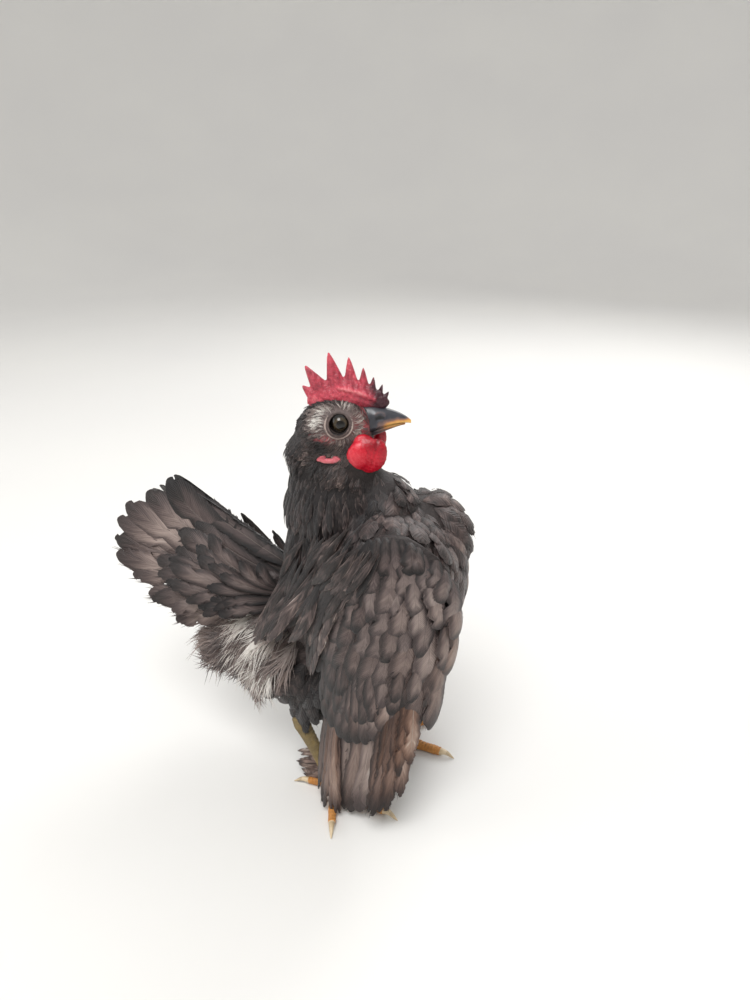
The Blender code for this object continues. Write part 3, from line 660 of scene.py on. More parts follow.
def face_marks(points):
    """Tone and flush of the skin of the head, as markings of the whole hen."""
    ahead, out, height = head_axes(points)
    on_side = ease(3.0, 6.0, out)
    from_eye = eye_distance(points)
    tone = np.full(len(points), 0.16)
    tone += 0.30 * ease(11.5, 6.0, from_eye) * on_side
    # The skin is flushed at the lores, along the gape, over the bill's root and above the ear.
    lores = np.exp(-(((ahead - 6.4) / 3.0) ** 2 + ((height - 174.5) / 7.0) ** 2)) * on_side
    gape = np.exp(-(((ahead - 5.6) / 3.4) ** 2 + ((height - 168.4) / 2.2) ** 2)) * on_side
    brow = np.exp(-(((ahead - 7.5) / 2.8) ** 2 + ((height - 181.5) / 2.0) ** 2))
    above = height - 170.8
    over_ear = np.exp(-(((ahead + 10.2 + above * 0.9) / 3.9) ** 2 + (above / 1.5) ** 2)) * on_side
    flush = np.clip(0.75 * lores + 0.85 * gape + 0.55 * brow + 0.9 * over_ear, 0, 1)
    return tone, flush * ease(156, 160, height) * ease(4.6, 5.8, from_eye)


# Patches of the head's feathers, by place from the eye's middle: (ahead, up), reach, tone and brown.
FACE_PATCHES = (
    ((-4.2, 9.8), (9.0, 2.6), 0.03, 0.0),
    ((3.4, 9.2), (5.0, 2.6), 0.06, 0.1),
    ((2.9, 5.6), (3.6, 1.1), 0.66, 0.1),
    ((-5.8, 4.8), (3.6, 1.8), 0.95, 0.0),
    ((-8.0, 0.8), (3.0, 4.0), 1.12, 0.0),
    ((8.2, 0.0), (3.0, 5.6), 0.80, 0.4),
    ((0.4, -9.6), (5.6, 3.6), 0.44, 0.7),
    ((-7.4, -9.4), (3.8, 2.4), 0.10, 0.8),
    ((-1.4, -13.4), (2.4, 2.0), 0.80, 0.3),
    ((-12.0, -11.5), (2.0, 3.0), 0.50, 0.3),
    ((3.0, -19.0), (5.5, 2.6), 0.46, 0.5),
)


def face_feathers(points, tone, brown):
    """Tone and brown of the coat with the head's patches and the pale ring round the eye."""
    ahead, out, height = head_axes(points)
    on_side = ease(3.0, 6.0, out) * ease(150, 156, height)
    for (x, z), (wide, tall), patch_tone, patch_brown in FACE_PATCHES:
        away = ((ahead - EYE[0] - x) / wide) ** 2 + ((height - EYE[1] - z) / tall) ** 2
        share = np.exp(-away) * on_side
        tone = tone + (patch_tone - tone) * share
        brown = brown + (patch_brown - brown) * share
    ring = np.exp(-(((eye_distance(points) - 6.2) / 0.9) ** 2)) * on_side
    return tone + (0.98 - tone) * 0.55 * ring, brown


def parted_round_eye(points, lie):
    """The lie of the coat, turned away from the eye close to it, so that no feather crosses it."""
    ahead, out, height = head_axes(points)
    near = np.exp(-((eye_distance(points) / 8.5) ** 4)) * ease(3.0, 5.5, out)
    near = near * (0.45 + 0.55 * ease(-3, 2, ahead - EYE[0]))
    away = np.stack((ahead - EYE[0], np.zeros(len(points)), height - EYE[1]), 1)
    c, n = math.cos(HEAD_TURN), math.sin(HEAD_TURN)
    away = unit(np.stack((away[:, 0] * c, away[:, 0] * n, away[:, 2]), 1))
    return lie * (1 - near[:, None]) + away * (1.2 * near[:, None])


def make_skin():
    """The flesh as one surface, sunk by the coat's depth, with eye sockets and ear cups."""
    pieces = [ellipsoid(*mass) for mass in BODY_MASSES + NECK_MASSES]
    pieces += [ellipsoid(*mass, head=True) for mass in HEAD_MASSES + BILL_ROOT]
    for side in (RIGHT, LEFT):
        line = np.array([mirrored(p, side) for p, _ in THIGH])
        rings = tube_rings(along(line, 10), along([[r] for _, r in THIGH], 10)[:, 0], 16)
        pieces.append(faced_out(mesh_object("thigh", *ring_mesh(rings))))
    skin = blended("bird_skin", pieces, BLEND_VOXEL, BLEND_STEPS)
    finer = skin.modifiers.new("finer", "SUBSURF")
    finer.levels = finer.render_levels = 1
    evaluated(skin)
    mesh = skin.data
    points, normals = places_of(mesh), normals_of(mesh)
    depth = coat_depth(points)
    ahead, out, height = head_axes(points)
    on_head = ease(5, 7, out) * ease(158, 160, height)
    depth += SOCKET_DEPTH * ease(5.0, 3.9, eye_distance(points)) * on_head
    depth += EAR_DEPTH * ease(3.2, 1.2, np.hypot(ahead - EAR[0], height - EAR[1])) * on_head
    move_points(mesh, points - normals * depth[:, None])
    return skin


def mirrored(place, side):
    """A place given for the right leg, or its mirror image a step forward for the left."""
    p = np.array(place, float)
    if side > 0:
        p = p * (1, -1, 1) + np.array(LEFT_STEP) * (1 - min(1.0, p[2] / 60))
    return p


# Coat


# How the coat grows, by place on one side: (ahead, out, up), lie, feather length, tone and brown.
COAT_GUIDES = (
    ((-6, 3, 183), (-1, 0, 1.0), 3.0, 0.10, 0.0),
    ((-18, 4, 186), (-1, 0, 0.9), 4.4, 0.04, 0.0),
    ((-16, 9, 184), (-1, 0, 0.9), 4.0, 0.06, 0.0),
    ((-28, 5, 184), (-1, 0, 0.1), 4.2, 0.05, 0.0),
    ((-31, 5, 181), (-0.7, 0, -0.7), 4.4, 0.05, 0.0),
    ((-22.5, 11, 178), (-1, 0, -0.1), 2.4, 0.42, 0.0),
    ((-17, 11, 168), (-0.8, 0, -0.5), 2.4, 0.36, 0.25),
    ((-24, 11, 166), (-0.9, 0, -0.3), 3.0, 0.24, 0.45),
    ((-10, 9, 163), (-0.5, 0, -1), 2.8, 0.34, 0.2),
    ((-34, 10, 168), (-0.35, 0, -1), 6.0, 0.05, 0.0),
    ((-22, 12, 157), (-0.2, 0, -1), 6.0, 0.12, 0.1),
    ((-8, 0, 156), (0.2, 0, -1), 5.0, 0.30, 0.2),
    ((-34, 0, 150), (-0.15, 0, -1), 11.0, 0.04, 0.0),
    ((-18, 17, 143), (0.05, 0, -1), 12.5, 0.08, 0.0),
    ((-2, 12, 143), (0.25, 0, -1), 10.5, 0.16, 0.1),
    ((-16, 21, 122), (0.0, 0, -1), 17.0, 0.20, 0.1),
    ((-38, 8, 125), (-0.15, 0, -1), 16.0, 0.08, 0.0),
    ((-42, 10, 108), (-0.6, 0, -0.8), 17.0, 0.14, 0.0),
    ((10, 12, 140), (0.05, 0.7, -0.8), 10.5, 0.33, 0.3),
    ((30, 8, 135), (0.35, 0.4, -1), 11.0, 0.36, 0.3),
    ((43, 0, 112), (0.0, 0, -1), 12.5, 0.36, 0.2),
    ((32, 22, 115), (-0.25, 0.1, -1), 12.5, 0.38, 0.2),
    ((30, 10, 85), (-0.4, 0, -1), 13.0, 0.38, 0.3),
    ((10, 26, 75), (-0.5, 0, -0.9), 14.0, 0.34, 0.3),
    ((5, 0, 48), (-1, 0, -0.3), 13.0, 0.40, 0.3),
    ((-38, 20, 88), (-0.7, 0, -0.7), 15.0, 0.28, 0.1),
    ((-52, 0, 104), (-1, 0, 0.5), 12.0, 0.22, 0.0),
    ((-47, 18, 80), (-0.5, 0.05, -0.85), 17.0, 0.98, 0.0),
    ((-58, 16, 76), (-0.6, 0.05, -0.8), 17.0, 0.74, 0.0),
    ((-46, 20, 64), (-0.35, 0.05, -0.95), 14.0, 0.90, 0.0),
    ((-60, 12, 60), (-0.7, 0, -0.65), 13.0, 0.50, 0.4),
    ((-86, 0, 62), (-0.9, 0, -0.4), 11.0, 0.62, 0.2),
    ((-60, 0, 44), (-0.8, 0, -0.5), 10.0, 0.34, 0.5),
    ((-38, 16, 45), (-0.5, 0, -0.85), 12.0, 0.16, 0.5),
    ((-20, 26, 60), (-0.3, 0, -1), 12.0, 0.12, 0.2),
    ((-24, 20, 48), (-0.2, 0, -1), 13.0, 0.08, 0.2),
    ((-30, 20, 37), (0.0, 0, -1), 12.0, 0.06, 0.2),
)
# How the guides blend: a distance squared that rounds off the nearest one, and how fast they fade.
GUIDE_ROUNDING = 6.0
GUIDE_FADE = 1.8


def coat_field(points):
    """Lie, length, tone and brown of the coat at points, blended between its guides."""
    p, turn = straightened(points)
    side = np.where(p[:, 1] < 0, -1.0, 1.0)
    p[:, 1] = np.abs(p[:, 1])
    places = np.array([g[0] for g in COAT_GUIDES], float)
    lies = unit(np.array([g[1] for g in COAT_GUIDES], float))
    rest = np.array([g[2:] for g in COAT_GUIDES], float)
    away = ((p[:, None] - places[None]) ** 2).sum(2)
    weight = 1 / (away + GUIDE_ROUNDING) ** GUIDE_FADE
    weight /= weight.sum(1, keepdims=True)
    lie = weight @ lies
    lie[:, 1] *= side
    c, s = np.cos(turn), np.sin(turn)
    lie = np.stack((lie[:, 0] * c - lie[:, 1] * s, lie[:, 0] * s + lie[:, 1] * c, lie[:, 2]), 1)
    length, tone, brown = (weight @ rest).T
    return lie, length, tone, brown


# The skin's upright middle line: heights, and how far ahead it lies there. Then the unwrap's height.
MIDDLE_LINE = ((0, 45, 62, 95, 120, 150, 200), (-22, -28, -26, -8, -2, -14, -14))
UNWRAP_HEIGHT = 205.0


def unwrapped(points):
    """A place on the unwrap of the skin: the angle round its middle line, and the height."""
    p = np.asarray(points, float)
    angle = np.arctan2(p[:, 1], p[:, 0] - np.interp(p[:, 2], *MIDDLE_LINE)) / math.tau + 0.5
    return np.stack((0.01 + 0.98 * angle, 0.01 + 0.98 * p[:, 2] / UNWRAP_HEIGHT), 1)


# Edges of a feather that turn by more than this stay crisp.
SHARP = math.radians(70)
# Outline of each kind of feather: shares of its length, and of its half width there.
VANE_OUTLINES = {
    "contour": ((0, 0.2, 0.42, 0.62, 0.8, 0.92, 0.98, 1), (0.12, 0.64, 0.96, 1.0, 0.86, 0.6, 0.32, 0.1)),
    "hackle": ((0, 0.2, 0.4, 0.6, 0.8, 0.93, 1), (0.12, 0.7, 1.0, 0.9, 0.55, 0.24, 0.06)),
    "covert": ((0, 0.15, 0.38, 0.6, 0.78, 0.9, 0.97, 1), (0.2, 0.62, 0.94, 1.0, 0.93, 0.72, 0.42, 0.14)),
    "frayed": ((0, 0.2, 0.45, 0.7, 0.88, 1), (0.3, 0.8, 1.0, 0.9, 0.6, 0.2)),
    "flight": ((0, 0.12, 0.3, 0.6, 0.82, 0.93, 0.98, 1), (0.1, 0.5, 0.85, 1.0, 0.98, 0.72, 0.4, 0.14)),
    "rectrix": ((0, 0.12, 0.3, 0.6, 0.8, 0.92, 0.98, 1), (0.1, 0.42, 0.74, 1.0, 0.94, 0.66, 0.34, 0.1)),
    "lance": ((0, 0.15, 0.4, 0.65, 0.85, 0.95, 1), (0.12, 0.6, 1.0, 0.85, 0.5, 0.24, 0.06)),
}


def vane_template(kind, rng, stations, columns, ragged, notches, spikes, spike):
    """A closed vane of unit length and half width: (along, across, height), faces and UV.

    Its station lines sweep forward to the edges, as barbs do, notches split the edge between
    barbs, and spikes are loose barbs at the edge.
    """
    share, wide = np.array(VANE_OUTLINES[kind])
    ts = np.sin(np.linspace(0, 1, stations) * math.pi / 2) ** 1.1
    cols = np.linspace(-1, 1, 2 * columns + 1)
    edge = np.interp(ts, share, wide)
    edges = np.stack([edge * (1 + ragged * rng.standard_normal(stations)) for _ in range(2)])
    for _ in range(notches):
        k = rng.integers(stations // 3, stations - 1)
        edges[rng.integers(0, 2), k] *= rng.uniform(0.5, 0.8)
    points, uv = [], []
    for k, t in enumerate(ts):
        for c in cols:
            half = edges[1 if c > 0 else 0, k]
            points.append((t + 0.1 * abs(c) * (1 - t ** 3) * min(1, 3 * t), c * half, 1 - c * c))
            uv.append((0.5 + 0.5 * c, t))
    row = len(cols)
    under = len(points)
    for t in ts:
        points.append((t, 0, -1))
        uv.append((0.5, t))
    faces = []
    for k in range(stations - 1):
        for j in range(row - 1):
            a = k * row + j
            faces.append((a, a + row, a + row + 1, a + 1))
        first, last = k * row, k * row + row - 1
        faces.append((first, under + k, under + k + 1, first + row))
        faces.append((under + k, last, last + row, under + k + 1))
    faces.append(tuple(range(row)) + (under,))
    end = (stations - 1) * row
    faces.append(tuple(range(end + row - 1, end - 1, -1)) + (under + stations - 1,))
    for _ in range(spikes):
        t = rng.uniform(0.35, 1.0)
        side = rng.choice((-1, 1))
        half = np.interp(t, share, wide) * side * 0.9
        out = (spike * rng.uniform(0.6, 1.5), side * 0.45 * rng.uniform(0.2, 1.2) * (1.15 - t), 0.5)
        base = np.array((min(t, 0.985) - 0.04, half, 0.0))
        start = len(points)
        points += [base + (0, -0.045, 0), base + (0, 0.045, 0), base + (0.02, 0, 0.8), base + out]
        uv += [(0.5 + 0.45 * half, t)] * 4
        corners = ((0, 1, 2), (1, 0, 3), (2, 1, 3), (0, 2, 3))
        faces += [(start + a, start + b, start + c) for a, b, c in corners]
    return np.array(points, float), faces, np.array(uv, float)


def templates(kind, rng, count, *sizes, **details):
    """Several vanes of one kind, each drawn anew."""
    return [vane_template(kind, rng, *sizes, **details) for _ in range(count)]


def picked(kind, rng):
    """Any one of the vanes of a kind."""
    return kind[rng.integers(len(kind))]


# Lengths of prism that one barb of down is made of.
PLUME_SEGMENTS = 2


def plume_template(rng, barbs, spread, barb):
    """A down plume: fine tapering barbs that leave a short shaft on both sides and at its end."""
    points, faces, uv = [], [], []
    for b in range(barbs):
        t = b / (barbs - 1)
        side = 1 if b % 2 else -1
        angle = side * spread * (1 - 0.75 * t) * rng.uniform(0.6, 1.3)
        length = (0.55 + 0.25 * math.sin(math.pi * t)) * rng.uniform(0.75, 1.15)
        root = np.array((0.42 * t, 0, 0))
        droop = rng.uniform(-0.12, 0.16)
        wave = rng.uniform(-0.25, 0.25)
        start = len(points)
        for k in range(PLUME_SEGMENTS):
            s = k / PLUME_SEGMENTS
            reach = length * s
            middle = root + (reach * math.cos(angle), reach * math.sin(angle + wave * s), droop * s * s)
            thick = barb * (1 - 0.55 * s)
            points += [middle + (0, y * thick, z * thick) for y, z in ((-1, -0.6), (1, -0.6), (0, 1))]
        points.append(root + (length * math.cos(angle), length * math.sin(angle + wave), droop))
        uv += [(0.5, 0.5)] * (3 * PLUME_SEGMENTS + 1)
        faces.append((start, start + 2, start + 1))
        for k in range(PLUME_SEGMENTS - 1):
            a = start + 3 * k
            for i in range(3):
                j = (i + 1) % 3
                faces.append((a + i, a + j, a + 3 + j, a + 3 + i))
        a, tip = start + 3 * (PLUME_SEGMENTS - 1), len(points) - 1
        faces += [(a, a + 1, tip), (a + 1, a + 2, tip), (a + 2, a, tip)]
    return np.array(points, float), faces, np.array(uv, float)


def shape_object(name, template, width, thick, cup, bow, curl):
    """One feather of unit length for the coat's instances: +X to its tip and +Z off the skin."""
    points, faces, uv = template
    t, s, h = points.T
    z = h * thick / 2 - cup * s * s * width / 2 + bow * 4 * t * (1 - t) - curl * t ** 3
    mesh = bpy.data.meshes.new(name)
    mesh.from_pydata(np.stack((t, s * width / 2, z), 1).tolist(), [], faces)
    put_uv(mesh, "vane", uv)
    obj = faced_out(bpy.data.objects.new(name, mesh))
    mesh.shade_smooth()
    mesh.set_sharp_from_angle(angle=SHARP)
    return obj


def shape_group(name, drawn, width, thick, cup, curl, bow, more_bow=0.0):
    """Feathers of one kind for the coat. Each bows more than the one before it by more_bow."""
    group = bpy.data.collections.new(name)
    bpy.context.scene.collection.children.link(group)
    for i, template in enumerate(drawn):
        bent = bow + more_bow * i
        group.objects.link(shape_object(f"{name}_{i}", template, width, thick, cup, bent, curl))
    return group


def coat_tree():
    """Nodes that set feathers on the skin: points, turned to the coat's lie, then real feathers."""
    tree = bpy.data.node_groups.new("feather_coat", "GeometryNodeTree")
    sockets = (
        ("Skin", "Geometry"), ("Spacing", "Float"), ("Share", "String"), ("Feathers", "Collection"),
        ("Kinds", "Int"), ("Lift", "Float"), ("Stray", "Float"), ("Width", "Float"), ("Length", "Float"),
        ("Tone Stray", "Float"), ("Seed", "Int"), ("Finish", "Material"),
    )
    for name, kind in sockets:
        tree.interface.new_socket(name, in_out="INPUT", socket_type="NodeSocket" + kind)
    tree.interface.new_socket("Coat", in_out="OUTPUT", socket_type="NodeSocketGeometry")
    given = add(tree, "NodeGroupInput")

    def carried(name, kind="FLOAT"):
        return add(tree, "GeometryNodeInputNamedAttribute", {"Name": name}, data_type=kind)[0]

    def stray_of(low, high, offset):
        ends = {2: low, 3: high, "Seed": given["Seed"] + float(offset)}
        return add(tree, "FunctionNodeRandomValue", ends, data_type="FLOAT")[1]

    spread = add(tree, "GeometryNodeDistributePointsOnFaces", {
        "Mesh": given["Skin"], "Distance Min": given["Spacing"],
        "Density Max": 1.0 / (given["Spacing"] * given["Spacing"]),
        "Density Factor": carried(given["Share"]), "Seed": given["Seed"],
    }, distribute_method="POISSON")
    tone = carried("tone") + stray_of(-1.0, 1.0, 2) * given["Tone Stray"]
    stored = add(tree, "GeometryNodeStoreNamedAttribute", {
        "Geometry": spread[0], "Name": "tone", "Value": tone,
    }, data_type="FLOAT", domain="POINT")
    stored = add(tree, "GeometryNodeStoreNamedAttribute", {
        "Geometry": stored[0], "Name": "root", "Value": add(tree, "GeometryNodeInputPosition")[0],
    }, data_type="FLOAT_VECTOR", domain="POINT")
    aimed = add(tree, "FunctionNodeAxesToRotation", {
        "Primary Axis": spread[1], "Secondary Axis": carried("lie", "FLOAT_VECTOR"),
    }, primary_axis="Z", secondary_axis="X")
    yaw = stray_of(-1.0, 1.0, 3) * given["Stray"]
    roll = stray_of(-1.0, 1.0, 4) * given["Stray"]
    tilt = stray_of(0.6, 1.4, 5) * given["Lift"] * -1.0
    turn = add(tree, "ShaderNodeCombineXYZ", {0: roll, 1: tilt, 2: yaw})
    turn = add(tree, "FunctionNodeEulerToRotation", {0: turn[0]})
    aimed = add(tree, "FunctionNodeRotateRotation", {0: aimed[0], 1: turn[0]}, rotation_space="LOCAL")
    length = carried("length") * given["Length"] * stray_of(0.85, 1.15, 6)
    wide = length * (given["Width"] * stray_of(0.88, 1.12, 7))
    size = add(tree, "ShaderNodeCombineXYZ", {0: length, 1: wide, 2: length})
    ends = {4: 0, 5: given["Kinds"] - 1.0, "Seed": given["Seed"] + 8.0}
    chosen = add(tree, "FunctionNodeRandomValue", ends, data_type="INT")
    feathers = {"Collection": given["Feathers"], "Separate Children": True}
    feathers = add(tree, "GeometryNodeCollectionInfo", feathers)
    placed = add(tree, "GeometryNodeInstanceOnPoints", {
        "Points": stored[0], "Instance": feathers[0], "Pick Instance": True,
        "Instance Index": chosen[2], "Rotation": aimed[0], "Scale": size[0],
    })
    real = add(tree, "GeometryNodeRealizeInstances", {"Geometry": placed[0]})
    coated = add(tree, "GeometryNodeSetMaterial", {"Geometry": real[0], "Material": given["Finish"]})
    add(tree, "NodeGroupOutput", {0: coated[0]})
    return tree


# The part of the bake map that one small feather takes up.
FEATHER_PATCH = 0.003
# What the measures of a piece of the coat say, in their order. The spacing is in millimetres.
COAT_MEASURES = ("Spacing", "Lift", "Stray", "Width", "Length", "Tone Stray", "Seed")


def make_coat(name, tree, skin, share, shapes, finish, measures):
    """One piece of the coat, grown from the skin where its share is above 0."""
    host = bpy.data.objects.new(name, skin.data.copy())
    bpy.context.scene.collection.objects.link(host)
    put_values(host.data, "share", share)
    modifier = host.modifiers.new("coat", "NODES")
    modifier.node_group = tree
    values = {"Share": "share", "Feathers": shapes, "Kinds": len(shapes.objects), "Finish": finish}
    values.update(zip(COAT_MEASURES, measures))
    values["Spacing"] *= MM
    for socket in tree.interface.items_tree:
        if socket.name in values:
            modifier[socket.identifier] = values[socket.name]
    evaluated(host)
    mesh = host.data
    roots = millimetres(places_of(mesh, "root"))
    corners = np.empty(len(mesh.loops), np.int32)
    mesh.loops.foreach_get("vertex_index", corners)
    patch = np.empty(len(mesh.loops) * 2, np.float32)
    mesh.uv_layers["vane"].data.foreach_get("uv", patch)
    bake = unwrapped(roots)[corners] + (patch.reshape(-1, 2) - 0.5) * FEATHER_PATCH
    layer = mesh.uv_layers.new(name="OFBake")
    layer.data.foreach_set("uv", bake.astype(np.float32).ravel())
    for extra in ("root", "lie", "length", "share"):
        if extra in mesh.attributes:
            mesh.attributes.remove(mesh.attributes[extra])
    return host


# Larger feathers


# A feather keeps this share of its cell of the bake map free on each side.
CELL_MARGIN = 0.08


class Plumage:
    """Collects the larger feathers of one piece, each bent to its own place."""

    def __init__(self):
        self.points, self.faces, self.uv, self.tone, self.brown, self.cell = [], [], [], [], [], []
        self.size = 0

    def add(self, template, root, tip, face, width, thick, cup, bow, curl, tone, brown, turn=0.0, sway=0.0):
        """Lays a unit vane from root to tip. Its outer side looks along face, it bows outward by bow,
        curls inward by curl at the tip, sways sideways by sway and turns about its shaft."""
        points, faces, uv = template
        t, s, h = points.T
        root, tip = np.asarray(root, float), np.asarray(tip, float)
        axis = unit(tip - root)
        out = unit(np.asarray(face, float) - axis * np.dot(axis, face))
        side = np.cross(axis, out)
        c, n = math.cos(math.radians(turn)), math.sin(math.radians(turn))
        out, side = out * c + side * n, side * c - out * n
        line = root + np.outer(t, tip - root)
        bent, swayed = bow * 4 * t * (1 - t) - curl * t ** 3, sway * 4 * t * (1 - t)
        line += np.outer(bent, out) + np.outer(swayed, side)
        flat = np.outer(s * width / 2, side)
        lift = h * thick / 2 - cup * s * s * width / 2
        self.points.append(line + flat + np.outer(lift, out))
        self.faces += [tuple(i + self.size for i in f) for f in faces]
        self.uv.append(uv)
        self.tone.append(np.full(len(points), tone))
        self.brown.append(np.full(len(points), brown))
        self.cell.append(np.full(len(points), len(self.cell)))
        self.size += len(points)

    def made(self, name):
        """The piece, with a cell of its bake map for every feather."""
        uv = np.vstack(self.uv)
        obj = mesh_object(name, np.vstack(self.points), self.faces, uv)
        mesh = obj.data
        mesh.set_sharp_from_angle(angle=SHARP)
        put_values(mesh, "tone", np.concatenate(self.tone))
        put_values(mesh, "brown", np.concatenate(self.brown))
        cell = np.concatenate(self.cell)
        across = math.ceil(math.sqrt(len(self.cell)))
        corner = np.stack((cell % across, cell // across), 1)
        inside = CELL_MARGIN + (1 - 2 * CELL_MARGIN) * np.clip(uv, 0, 1)
        put_uv(mesh, "OFBake", (corner + inside) / across)
        return obj


# The wing's surface ends at this share of its oval's reach, before the oval closes.
WING_END = 0.96


def wing_place(ahead, height, lift, side):
    """Point and outward direction on the wing's outer surface, lifted off it."""
    reach = WING_REACH_REAR if ahead < WING_MIDDLE_X else WING_REACH_FRONT
    share = max(-WING_END, min(WING_END, (ahead - WING_MIDDLE_X) / reach))
    y = WING_REACH_SIDE * math.sqrt(1 - share * share)
    out = unit((share / reach, y / WING_REACH_SIDE ** 2, 0))
    p = np.array((WING_MIDDLE_X + reach * share, y, height)) + out * lift
    if side > 0:
        p = np.array((p[0] + LEFT_WING_SHIFT, p[1], p[2] * LEFT_WING_HEIGHT))
    return p * (1, side, 1), out * (1, side, 1)


def along_arc(first, middle, last, t):
    """A point of the arc that passes through three places at 0, a half and 1."""
    first, middle, last = (np.asarray(p, float) for p in (first, middle, last))
    pull = middle * 2 - (first + last) / 2
    return first * (1 - t) ** 2 + pull * 2 * t * (1 - t) + last * t * t


# Sections of the wing's arm under its feathers: height, span ahead, thickness, how far it sinks.
WING_ARM = (
    (140.5, (16, 30), 3.5, 9.0),
    (138.0, (10, 35), 6.0, 6.2),
    (134.0, (3, 39), 7.0, 3.2),
    (127.0, (-3, 42), 7.0, 1.6),
    (114.0, (-8, 44), 7.0, 1.4),
    (98.0, (-10, 44), 6.5, 1.4),
    (84.0, (-9, 40), 5.0, 1.4),
    (73.0, (-7, 34), 3.0, 2.0),
)
# Feathers of the wing in tiers: how many, then three places (ahead, up) of the arc that their tips
# lie on, and for their roots both ends of a line and its height. Then come the width, the lift of
# root and tip, the turn, kind, tone and brown.
FLIGHT_TIERS = (
    (6, (-9, 7), (1.5, 2.2), (12, 11), (-9, 27, 84), 10.4, (-3.2, -1.0), 14, "flight", 0.66, 0.4),
    (8, (-13.5, 9), (-8.5, 2.6), (-1.0, 2.4), (-11, -3, 62), 5.6, (-2.6, 0.2), 12, "frayed", 0.64, 0.95),
    (10, (13.5, 13), (22.5, 19.5), (28.5, 42), (21, 32, 78), 7.8, (-2.6, 1.2), 12, "frayed", 0.66, 1.0),
    (9, (-9, 49), (8, 45), (24, 60), (-9, 31, 96), 9.5, (-3.0, 0.6), 12, "flight", 0.56, 0.4),
)
COVERT_TIERS = (
    (13, (-11, 56), (6, 51.5), (25, 63), (-7, 30, 99), 7.8, (-2.6, 1.3), 14, "covert", 0.40, 0.35),
    (5, (29, 65), (36.5, 54), (42.2, 78), (30, 44, 112), 11.5, (-2.4, 0.9), 13, "covert", 0.58, 0.5),
    (12, (-12, 69), (9, 63), (31, 70), (-6, 34, 106), 8.4, (-2.4, 1.8), 14, "covert", 0.41, 0.3),
    (9, (-11, 82), (14, 75), (41, 83), (-4, 42, 113), 11.4, (-2.4, 2.3), 11, "covert", 0.52, 0.25),
    (9, (-11, 93), (16, 88), (42, 96), (-3, 43, 120), 10.8, (-2.4, 2.5), 11, "covert", 0.47, 0.2),
    (9, (-9, 103), (18, 100), (43, 106), (-1, 43, 127), 10.0, (-2.4, 2.6), 10, "covert", 0.50, 0.15),
    (9, (-6, 112), (19, 110.5), (41, 115), (2, 41, 133), 9.4, (-2.6, 2.6), 10, "covert", 0.48, 0.1),
    (9, (-1, 120.5), (21, 119.5), (39, 123), (4, 39, 138), 8.8, (-4.2, 2.1), 9, "covert", 0.43, 0.15),
    (8, (5, 128.5), (22, 127.5), (35, 129.5), (8, 34, 142), 8.6, (-7.0, 1.0), 9, "covert", 0.35, 0.15),
)
# How each kind of wing feather bends: its cup as a share of its width, its bow and its curl, and how
# far its tip strays.
WING_BENDS = {
    "flight": (0.12, 1.1, 0.8, 0.6),
    "covert": (0.24, 1.6, 1.9, 2.3),
    "frayed": (0.30, 2.4, -2.6, 1.8),
}
# Tiers rooted above this height stray as their kind does, and the long ones below it hardly stray.
STRAY_HEIGHT = 84
# Tips of the longest feathers stay this far off the floor, so that their edges don't pass through it.
LOWEST_TIP = 2.9


def wing_arm(side):
    """The wing's flesh and bone under its feathers."""
    rings = []
    for height, (rear, front), thick, sink in WING_ARM:
        shares = np.linspace(0, 1, 12)
        ahead = rear + (front - rear) * (0.5 - 0.5 * np.cos(math.pi * shares))
        depth = sink + thick * (0.3 + 0.7 * np.sin(math.pi * shares))
        outer = [wing_place(x, height, -sink, side)[0] for x in ahead]
        inner = [wing_place(x, height, -d, side)[0] for x, d in zip(ahead, depth)]
        rings.append(outer + inner[::-1])
    arm = faced_out(mesh_object("wing_arm", *ring_mesh(rings)))
    put_values(arm.data, "tone", np.full(len(arm.data.vertices), 0.2))
    return arm


def make_wing(name, side, rng, tiers):
    """Some tiers of one wing. Each feather overlaps the next one towards the rear."""
    kinds = {
        "flight": templates("flight", rng, 6, 17, 3, ragged=0.03, notches=3, spikes=26, spike=0.03),
        "covert": templates("covert", rng, 8, 11, 3, ragged=0.035, notches=2, spikes=26, spike=0.07),
        "frayed": templates("frayed", rng, 6, 22, 3, ragged=0.14, notches=7, spikes=40, spike=0.07),
    }
    wing = Plumage()
    for count, rear, middle, front, roots, width, lift, turn, kind, tone, brown in tiers:
        root_rear, root_front, root_height = roots
        cup, bow, curl, wander = WING_BENDS[kind]
        for i in range(count):
            t = i / (count - 1)
            stray, other, third = rng.uniform(-1, 1, 3)
            ahead, low = along_arc(rear, middle, front, t)
            high = root_height - 4 * (2 * t - 1) ** 2
            ahead_root = root_rear + (root_front - root_rear) * t
            root, _ = wing_place(ahead_root, high, lift[0], side)
            low += wander * other if root_height > STRAY_HEIGHT else 0.5 * abs(other)
            tip, face = wing_place(ahead + wander * stray, low, lift[1] + 0.5 * third, side)
            tip[2] = max(tip[2], LOWEST_TIP)
            rearward = 1 - t
            wide = width * (1 + 0.17 * third) * (1.0 - 0.2 * rearward)
            wing.add(
                picked(kinds[kind], rng), root, tip, face, wide, thick=0.3, cup=cup * (1 + 0.3 * other),
                bow=bow + 0.4 * other, curl=curl * (1 + 0.5 * third), turn=side * (turn + 7 * other),
                sway=side * (2.6 * (rearward - 0.3) + 1.2 * third),
                tone=tone - 0.24 * rearward + 0.08 * stray, brown=brown + 0.2 * other,
            )
    return wing.made(name)


# How far ahead the roots of the tail's feathers lie.
TAIL_ROOT_X = -43.5
# From this share of the way down a tier, its feathers are frayed.
FRAYED_FROM = 0.55
